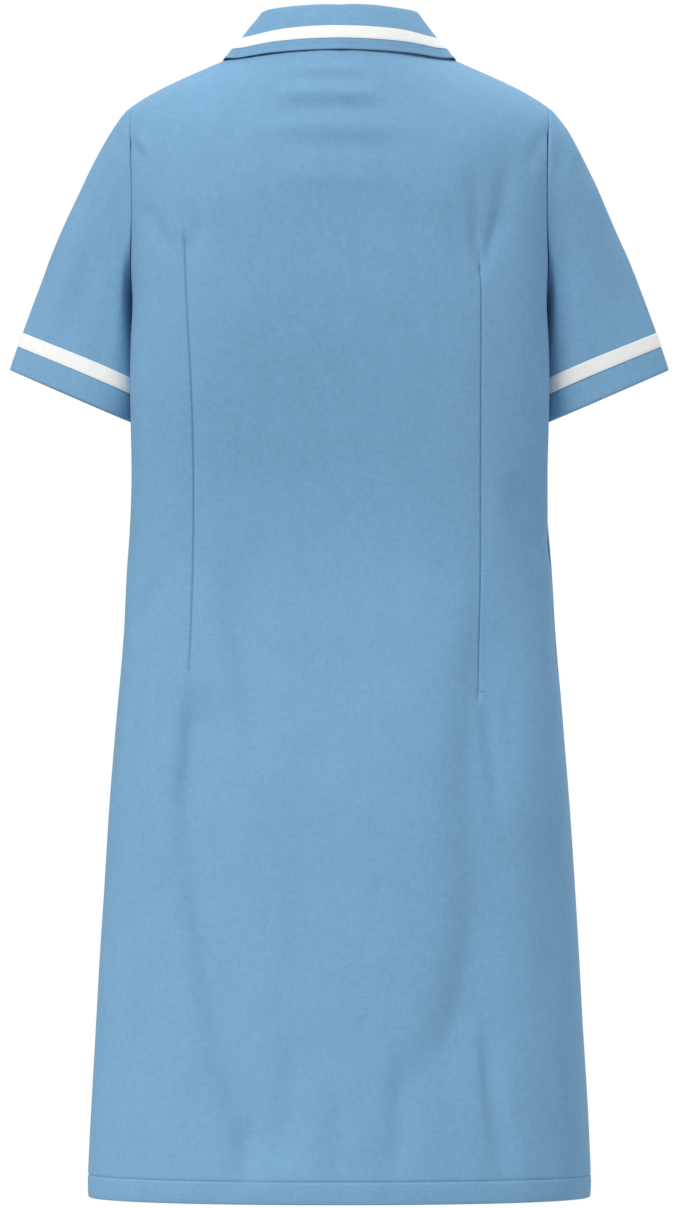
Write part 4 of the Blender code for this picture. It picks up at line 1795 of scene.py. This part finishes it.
@dataclass
class Collar:
    """The one-piece collar, turned down over its stand, and the tape along its fall.

    Attributes:
        wall: Its thickness.
        seat: How far above the neckline it begins.
        foot_inset: How far inside the neckline it begins.
        fold: Radius of the fold between stand and fall.
        parting: Half the gap between its ends at the centre front.
        columns: Number of columns on each side.
        stand_rows: Rows up the stand.
        fold_rows: Rows over the fold.
        fall_rows: Rows down the fall to the tape.
        tape_rows: Rows from the tape's upper edge to its lower one.
        foot_rows: Rows from there to the edge stitches.
        edge_rows: Rows from the stitches to the edge, with both.
        tape_above_edge: How far above the edge the tape lies.
        tape_width: Width of the tape.
        tape_wall: Thickness of the tape.
        edge_stitch: How far above the edge its stitches are.
        dimple: How deep they pull the cloth in.
        ripple: Height of the slight waves along it.
        ripple_length: How long a radian of these waves is.
        ripple_drift: How many radians they drift, and over what length.
        ripple_fade: How far above the edge and below the seam they set in.
    """

    wall: float = 1.3
    seat: float = 0.6
    foot_inset: float = 1.5
    fold: float = 3.2
    parting: float = 1.5
    columns: int = 72
    stand_rows: int = 7
    fold_rows: int = 8
    fall_rows: int = 6
    tape_rows: int = 5
    foot_rows: int = 3
    edge_rows: int = 5
    tape_above_edge: float = 10.0
    tape_width: float = 12.0
    tape_wall: float = 0.5
    edge_stitch: float = 4.5
    dimple: float = 0.25
    ripple: float = 0.25
    ripple_length: float = 13.0
    ripple_drift: Point = (2.0, 19.0)
    ripple_fade: Point = (30.0, 40.0)

    def seam_point(self, turn: float) -> Array:
        """Point of the left neckline.

        Args:
            turn: Turn from the centre back.

        Returns:
            The point.
        """
        half = BACK if turn <= pi / 2 else FRONT
        from_centre = turn if turn <= pi / 2 else pi - turn
        strip = 0.0 if half is BACK else LAP
        first = float(np.arcsin(strip / NECK_HALF_WIDTH))
        neck = half.share_at(NECK_HALF_WIDTH, strip)
        if from_centre < first:
            ends = [half.dome(x, 0.0, x, np.zeros(1))[0] for x in (0.0, LAP)]
            return ends[0] + (ends[1] - ends[0]) * NECK_HALF_WIDTH * sin(from_centre) / LAP
        share = neck * (from_centre - first) / (pi / 2 - first)
        return half.dome(NECK_HALF_WIDTH * sin(from_centre), share, strip, np.zeros(1))[0]

    def fall_shares(self, length: float) -> Array:
        """Shares down the fall of its rows.

        Args:
            length: Length of the fall.

        Returns:
            The shares, with one at each edge of the tape.
        """
        top = 1 - (self.tape_above_edge + self.tape_width) / length
        foot = 1 - self.tape_above_edge / length
        stitch = 1 - self.edge_stitch / length
        parts = []
        for start, end, rows in (
            (0, top, self.fall_rows),
            (top, foot, self.tape_rows),
            (foot, stitch, self.foot_rows),
        ):
            parts.append(np.linspace(start, end, rows + 1)[:-1])
        return np.concatenate([*parts, np.linspace(stitch, 1, self.edge_rows)])

    def section(self, turn: float) -> Array:
        """Section of the outer face.

        Args:
            turn: Turn from the centre back.

        Returns:
            Points up the stand, over the fold and down the fall.
        """
        degrees = float(np.degrees(turn))
        stand, lean, bulge, *edge = (
            float(read(STATIONS, key, degrees, "turn"))
            for key in ("stand", "lean", "bulge", "edge_x", "edge_y", "edge_z")
        )
        seam = self.seam_point(turn)
        edge = np.array(edge)
        out = unit(np.array([seam[0], seam[1] - SHOULDER_SEAM_Y, 0]))
        up = np.array([0, 0, 1.0])
        foot = seam + up * self.seat - out * self.foot_inset
        middle = foot + up * (stand - self.fold) - out * (lean - self.fold)
        fall = unit(edge - middle)
        face = unit(np.cross(np.cross(fall, up), fall))
        rise = np.linspace(0, 1, self.stand_rows + 1)[:-1, None]
        points = [foot + (middle - out * self.fold - foot) * rise]
        span = float(np.arccos(np.clip(-out @ face, -1, 1)))
        for t in np.linspace(0, 1, self.fold_rows + 1)[:-1]:
            direction = (-out * sin((1 - t) * span) + face * sin(t * span)) / sin(span)
            points.append((middle + self.fold * direction)[None])
        start = middle + self.fold * face
        shares = self.fall_shares(float(np.linalg.norm(edge - start)))[:, None]
        points.append(start + (edge - start) * shares + face * bulge * 4 * shares * (1 - shares))
        return np.concatenate(points)

    def cloth(self) -> Cloth:
        """Shape the collar: its edge stitches and slight waves.

        Returns:
            The collar.
        """
        last = pi - float(np.arcsin(self.parting / NECK_HALF_WIDTH))
        left = np.array([self.section(turn) for turn in np.linspace(0, last, self.columns)])
        grid = np.concatenate([mirrored(left)[:0:-1], left]).transpose(1, 0, 2)
        facing = unit(np.cross(*differences(grid, False)))
        if facing[-1, self.columns - 1, 1] < 0:
            facing = -facing
        down = lengths(grid, 0)
        above = down[-1] - down
        drift = self.ripple_drift[0] * np.sin(above / self.ripple_drift[1])
        waves = self.ripple * np.sin(lengths(grid, 1) / self.ripple_length + drift)
        waves = waves * ease(above / self.ripple_fade[0]) * ease(down / self.ripple_fade[1])
        sink = self.dimple * bell((above - self.edge_stitch) / STITCH_GROOVE) + waves
        outer = grid - facing * sink[..., None]
        return Cloth("turned_down_collar", outer, facing, np.full(grid.shape[:2], self.wall))

    def tape(self, cloth: Cloth) -> Cloth:
        """Tape that lies along the collar's fall.

        Args:
            cloth: The shaped collar.

        Returns:
            The tape.
        """
        foot = len(cloth.outer) - self.edge_rows - self.foot_rows
        band = slice(foot - self.tape_rows, foot + 1)
        return tape_on(cloth, "collar_tape_strip", band, self.tape_wall)

    def edge_stitches(self, cloth: Cloth) -> Stitches:
        """Return the row of stitches beside the collar's outer edge."""
        return stitches_on(cloth, len(cloth.outer) - self.edge_rows)


@dataclass(frozen=True)
class Sewing:
    """Makes rows of stitches with a Geometry Nodes tree.

    Attributes:
        pitch: From one stitch to the next.
        length: Length of one stitch.
        thickness: Thickness of the thread.
        sides: Number of its sides.
        segments: Number of its parts along a stitch.
        bow: Its ends dip by a quarter of this many thicknesses.
        INPUTS: Name and type of each input of the tree.
    """

    pitch: float = 2.6
    length: float = 2.1
    thickness: float = 0.34
    sides: int = 6
    segments: int = 4
    bow: float = 5.0

    INPUTS: ClassVar[dict[str, str]] = {
        "Lines": "NodeSocketGeometry",
        "Pitch": "NodeSocketFloat",
        "Length": "NodeSocketFloat",
        "Thickness": "NodeSocketFloat",
        "Thread": "NodeSocketMaterial",
    }

    def stitch(self, add: Callable[..., Node], given: NodeOutputs) -> NodeSocket:
        """Lay out one stitch: a short rod along X whose ends dip.

        Args:
            add: Adds a node to the tree.
            given: The tree's inputs.

        Returns:
            The stitch's geometry.
        """

        def maths(operation: str, first: object, second: object) -> NodeSocket:
            """Return the result of a sum on two sockets or numbers."""
            return add("ShaderNodeMath", {0: first, 1: second}, operation=operation).outputs[0]

        length, thickness = given["Length"], given["Thickness"]
        sizes = {"Radius": maths("MULTIPLY", thickness, 0.5), "Depth": length}
        counts = {"Vertices": self.sides, "Side Segments": self.segments}
        rod = add("GeometryNodeMeshCylinder", {**counts, **sizes}).outputs["Mesh"]
        laid = add("GeometryNodeTransform", {"Geometry": rod, "Rotation": (0, pi / 2, 0)})
        place = add("ShaderNodeSeparateXYZ", {0: add("GeometryNodeInputPosition").outputs[0]})
        share = maths("DIVIDE", place.outputs[0], length)
        depth = maths("MULTIPLY", maths("MULTIPLY", share, share), thickness)
        offset = add("ShaderNodeCombineXYZ", {2: maths("MULTIPLY", depth, -self.bow)}).outputs[0]
        moved = {"Geometry": laid.outputs[0], "Offset": offset}
        return add("GeometryNodeSetPosition", moved).outputs[0]

    def tree(self) -> NodeTree:
        """Lay out the tree that puts a stitch at each step along its lines.

        Returns:
            The tree.
        """
        tree = bpy.data.node_groups.new("row_of_stitches", "GeometryNodeTree")
        for name, kind in self.INPUTS.items():
            tree.interface.new_socket(name=name, in_out="INPUT", socket_type=kind)
        tree.interface.new_socket(
            name="Stitches", in_out="OUTPUT", socket_type="NodeSocketGeometry"
        )
        add = partial(add_node, tree)
        given = add("NodeGroupInput").outputs
        curve = add("GeometryNodeMeshToCurve", {"Mesh": given["Lines"]}).outputs[0]
        pitch = {"Curve": curve, "Length": given["Pitch"]}
        steps = add("GeometryNodeResampleCurve", pitch, mode="LENGTH").outputs[0]
        along, facing = (
            add("GeometryNodeInputNamedAttribute", {"Name": key}, data_type="FLOAT_VECTOR")
            for key in ("along", "facing")
        )
        turned = add("FunctionNodeAlignRotationToVector", {"Vector": along.outputs[0]}, axis="X")
        upward = {"Rotation": turned.outputs[0], "Vector": facing.outputs[0]}
        raised = add("FunctionNodeAlignRotationToVector", upward, axis="Z", pivot_axis="X")
        stitch = {"Instance": self.stitch(add, given), "Rotation": raised.outputs[0]}
        placed = add("GeometryNodeInstanceOnPoints", {"Points": steps, **stitch})
        real = add("GeometryNodeRealizeInstances", {"Geometry": placed.outputs[0]}).outputs[0]
        thread = {"Geometry": real, "Material": given["Thread"]}
        done = add("GeometryNodeSetMaterial", thread).outputs[0]
        add("NodeGroupOutput", {"Stitches": done})
        return tree

    def lines(self, name: str, rows: list[Stitches]) -> Object:
        """Draw the lines that the stitches follow.

        Args:
            name: Name of the mesh.
            rows: The rows of stitches.

        Returns:
            An object with the lines and the stitches' directions.
        """
        points, edges, along, facing = [], [], [], []
        for row in rows:
            first, count = len(points), len(row.points)
            points += (row.points * METRES).tolist()
            edges += [(first + k, first + k + 1) for k in range(count - 1)]
            if row.closed:
                edges.append((first + count - 1, first))
            along.append(row.along())
            facing.append(row.facing)
        mesh = bpy.data.meshes.new(name)
        mesh.from_pydata(points, edges, [])
        for key, vectors in (("along", along), ("facing", facing)):
            attribute = mesh.attributes.new(key, "FLOAT_VECTOR", "POINT")
            attribute.data.foreach_set("vector", np.concatenate(vectors).astype(np.float32).ravel())
        return linked(name, mesh)

    def sew(self, name: str, rows: list[Stitches], thread: Material) -> Object:
        """Sew rows of stitches as one plain mesh.

        Args:
            name: Name of the piece.
            rows: Its rows.
            thread: Its finish.

        Returns:
            The finished object.
        """
        source = self.lines(name + "_lines", rows)
        modifier = source.modifiers.new("stitches", "NODES")
        modifier.node_group = self.tree()
        values = {
            "Pitch": self.pitch * METRES,
            "Length": self.length * METRES,
            "Thickness": self.thickness * METRES,
            "Thread": thread,
        }
        for item in modifier.node_group.interface.items_tree:
            if item.in_out == "INPUT" and item.name in values:
                modifier[item.identifier] = values[item.name]
        graph = bpy.context.evaluated_depsgraph_get()
        mesh = bpy.data.meshes.new_from_object(source.evaluated_get(graph))
        source.modifiers.clear()
        bpy.data.objects.remove(source)
        mesh.name = name
        mesh.shade_smooth()
        return linked(name, mesh)


@dataclass(frozen=True)
class Button:
    """A four-hole button with a raised rim, sewn on with a cross of thread.

    Attributes:
        hole: Radius of a hole.
        hole_ring: How far the holes are from the middle.
        hole_sides: Number of a hole's sides.
        drill_over: How far the rods that cut the holes reach past it.
        sides: Number of the disc's sides.
        seat: How far above the cloth it sits.
        height: Its height.
        thread_height: How high the threads lie.
        profile: Radius and height of the points round it, from below.
        corner: Angle from which an edge is sharp.
    """

    hole: float = 0.85
    hole_ring: float = 1.7
    hole_sides: int = 16
    drill_over: float = 1.0
    sides: int = 48
    seat: float = 0.6
    height: float = 2.7
    thread_height: float = 2.05
    profile: tuple[Point, ...] = (
        (0.0, 0.0), (6.4, 0.0), (7.1, 0.35), (7.5, 1.1),
        (7.45, 1.9), (7.0, 2.5), (6.4, 2.7), (5.8, 2.55),
        (5.2, 2.15), (4.4, 1.9), (0.0, 1.75),
    )
    corner: float = radians(35)

    def disc(self) -> Object:
        """Turn the disc, before its holes are drilled.

        Returns:
            The disc.
        """
        points, faces = [(0, 0, self.profile[0][1])], []
        for radius, height in self.profile[1:-1]:
            points += circle(self.sides, radius, 0, 0, height)
        points.append((0, 0, self.profile[-1][1]))
        rings = len(self.profile) - 2
        for c in range(self.sides):
            n = (c + 1) % self.sides
            faces.append((0, 1 + n, 1 + c))
            for r in range(rings - 1):
                low, high = 1 + r * self.sides, 1 + (r + 1) * self.sides
                faces.append((low + c, low + n, high + n, high + c))
            top = 1 + (rings - 1) * self.sides
            faces.append((top + c, top + n, len(points) - 1))
        return linked("button_disc", new_mesh("button_disc", points, faces))

    def drills(self) -> Object:
        """Make the four rods that cut the holes, as one mesh.

        Returns:
            The rods.
        """
        sides = self.hole_sides
        points, faces = [], []
        for k in range(4):
            angle = pi / 4 + k * pi / 2
            x, y = self.hole_ring * cos(angle), self.hole_ring * sin(angle)
            first = len(points)
            for z in (-self.drill_over, self.height + self.drill_over):
                points += circle(sides, self.hole, x, y, z)
            low, high = range(first, first + sides), range(first + sides, first + 2 * sides)
            for c in range(sides):
                n = (c + 1) % sides
                faces.append((low[c], low[n], high[n], high[c]))
            faces += [tuple(reversed(low)), tuple(high)]
        return linked("button_drills", new_mesh("button_drills", points, faces))

    def mesh(self, finish: Material) -> Mesh:
        """Drill the holes into the disc.

        Args:
            finish: The button's finish.

        Returns:
            The button, standing on the origin and facing +Z.
        """
        disc, drills = self.disc(), self.drills()
        cut = disc.modifiers.new("holes", "BOOLEAN")
        cut.operation = "DIFFERENCE"
        cut.solver = "EXACT"
        cut.object = drills
        graph = bpy.context.evaluated_depsgraph_get()
        mesh = bpy.data.meshes.new_from_object(disc.evaluated_get(graph))
        for used in (disc, drills):
            bpy.data.objects.remove(used)
        mesh.materials.clear()
        mesh.materials.append(finish)
        mesh.shade_smooth()
        mesh.set_sharp_from_angle(angle=self.corner)
        return mesh


@dataclass
class Fastening:
    """The row of buttons down the centre front and their buttonholes.

    Attributes:
        front: The right front, which the buttonholes are in.
        column: Its column on the centre line.
        button: The button.
        top: Drop of the highest button.
        low: Drop of the lowest button.
        count: Number of buttons.
        hole: Half the length of a buttonhole.
        gap: Half the width between a buttonhole's two sides.
        hole_points: Points along each side of a buttonhole.
    """

    front: Cloth
    column: int
    button: Button = Button()
    top: float = 88.0
    low: float = 760.0
    count: int = 8
    hole: float = 9.5
    gap: float = 1.1
    hole_points: int = 8

    def on_centre(self, drop: Array) -> tuple[Array, Array]:
        """Points of the centre line.

        Args:
            drop: Drops to read it at.

        Returns:
            The points, and the facing at each.
        """
        line, facing = self.front.outer[:, self.column], self.front.facing[:, self.column]
        found = []
        for values in (line, facing):
            parts = [np.interp(drop, -line[:, 2], values[:, k]) for k in range(3)]
            found.append(np.stack(parts, axis=-1))
        return found[0], unit(found[1])

    def seats(self) -> tuple[Array, Array]:
        """Return the middle and the facing of each button's seat."""
        points, facing = self.on_centre(np.linspace(self.top, self.low, self.count))
        return points + facing * self.button.seat, facing

    def buttons(self, finish: Material) -> list[Object]:
        """Set the buttons on their seats.

        Args:
            finish: Their finish.

        Returns:
            The buttons, from the top down.
        """
        model = self.button.mesh(finish)
        made = []
        for k, (place, facing) in enumerate(zip(*self.seats())):
            mesh = model.copy()
            turn = Vector(facing).to_track_quat("Z", "Y").to_matrix().to_4x4()
            mesh.transform(Matrix.Translation(Vector(place) * METRES) @ turn)
            made.append(linked(f"pearl_button_{k + 1}", mesh))
        bpy.data.meshes.remove(model)
        return made

    def buttonholes(self) -> list[Stitches]:
        """Stitches at the two sides of each buttonhole.

        Returns:
            The rows.
        """
        rows = []
        for middle in np.linspace(self.top, self.low, self.count):
            along = np.linspace(-self.hole, self.hole, self.hole_points)
            points, facing = self.on_centre(middle + along)
            for side in (-self.gap, self.gap):
                rows.append(Stitches(points + np.array([side, 0, 0]), facing, crosswise=True))
        return rows

    def threads(self) -> list[Stitches]:
        """Two crossed threads on each button.

        Returns:
            The threads.
        """
        rows = []
        for place, facing in zip(*self.seats()):
            upright = np.array([0, 0, 1.0])
            sideways = unit(np.cross(upright, facing))
            middle = place + facing * self.button.thread_height
            for sign in (-1, 1):
                step = unit(sideways + sign * upright) * ONE_STITCH
                ends = np.array([middle - step, middle + step])
                rows.append(Stitches(ends, np.array([facing, facing])))
        return rows


def declare(piece: Object, node: str) -> None:
    """Hide the part of the node that a piece stands for, and make the piece ride on the dress.

    Args:
        piece: The piece.
        node: The node.
    """
    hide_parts(node)
    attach(piece, "root")
    LOG.info("%s stands for %s", piece.name, node)


def main() -> None:
    """Build every piece of the dress round its frame, and the studio."""
    logging.basicConfig(level=logging.INFO, format="%(name)s: %(message)s")
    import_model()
    Studio().build()
    fabric = WovenFinish("sky_blue_fabric", (0.182, 0.358, 0.540)).make()
    tape_finish = WovenFinish(
        "white_tape_weave",
        (0.88, 0.87, 0.85),
        thread=0.5,
        uneven=0.06,
        slub=0.05,
        mottle=0.04,
        relief=0.4,
    ).make()
    blue_thread = ThreadFinish("blue_thread", (0.09, 0.19, 0.31)).make()
    white_thread = ThreadFinish("white_thread", (0.74, 0.73, 0.71)).make()
    body = Body()
    panels = body.panels()
    blue_rows, white_rows = body.rows_of_stitches(panels), []
    cloths = {node: (cloth, fabric, Slot.FABRIC) for node, cloth in panels.items()}
    for sleeve in (LEFT_SLEEVE, RIGHT_SLEEVE):
        cloth = sleeve.cloth()
        tape = sleeve.tape(cloth)
        cloths[f"sleeve_{sleeve.side_name}"] = (cloth, fabric, Slot.FABRIC)
        cloths[f"sleeve_tape_{sleeve.side_name}"] = (tape, tape_finish, Slot.TAPE)
        blue_rows.append(sleeve.hem_stitches(cloth))
        white_rows += tape_stitches(tape)
    collar = Collar()
    cloth = collar.cloth()
    tape = collar.tape(cloth)
    cloths["collar"] = (cloth, fabric, Slot.FABRIC)
    cloths["collar_tape"] = (tape, tape_finish, Slot.TAPE)
    blue_rows.append(collar.edge_stitches(cloth))
    white_rows += tape_stitches(tape)
    for node, (cloth, finish, slot) in cloths.items():
        piece = cloth.build(finish)
        declare(piece, node)
    fastening = Fastening(panels["front_right"], body.strip.index(0))
    for k, piece in enumerate(fastening.buttons(PearlFinish().make())):
        declare(piece, f"button_{k + 1}")
    buttonhole = Sewing(pitch=0.6, length=1.7, thickness=0.3)
    cross = Sewing(pitch=1.0, length=4.4, thickness=0.5)
    for name, sewing, rows, thread, slot in (
        ("blue_stitches", Sewing(), blue_rows, blue_thread, Slot.FABRIC),
        ("white_stitches", Sewing(), white_rows, white_thread, Slot.TAPE),
        ("buttonhole_stitches", buttonhole, fastening.buttonholes(), blue_thread, Slot.FABRIC),
        ("button_threads", cross, fastening.threads(), white_thread, Slot.TAPE),
    ):
        piece = sewing.sew(name, rows, thread)
        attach(piece, "root")
        LOG.info("%s sewn, with its finish from %s", piece.name, slot.value)


if __name__ == "__main__":
    main()
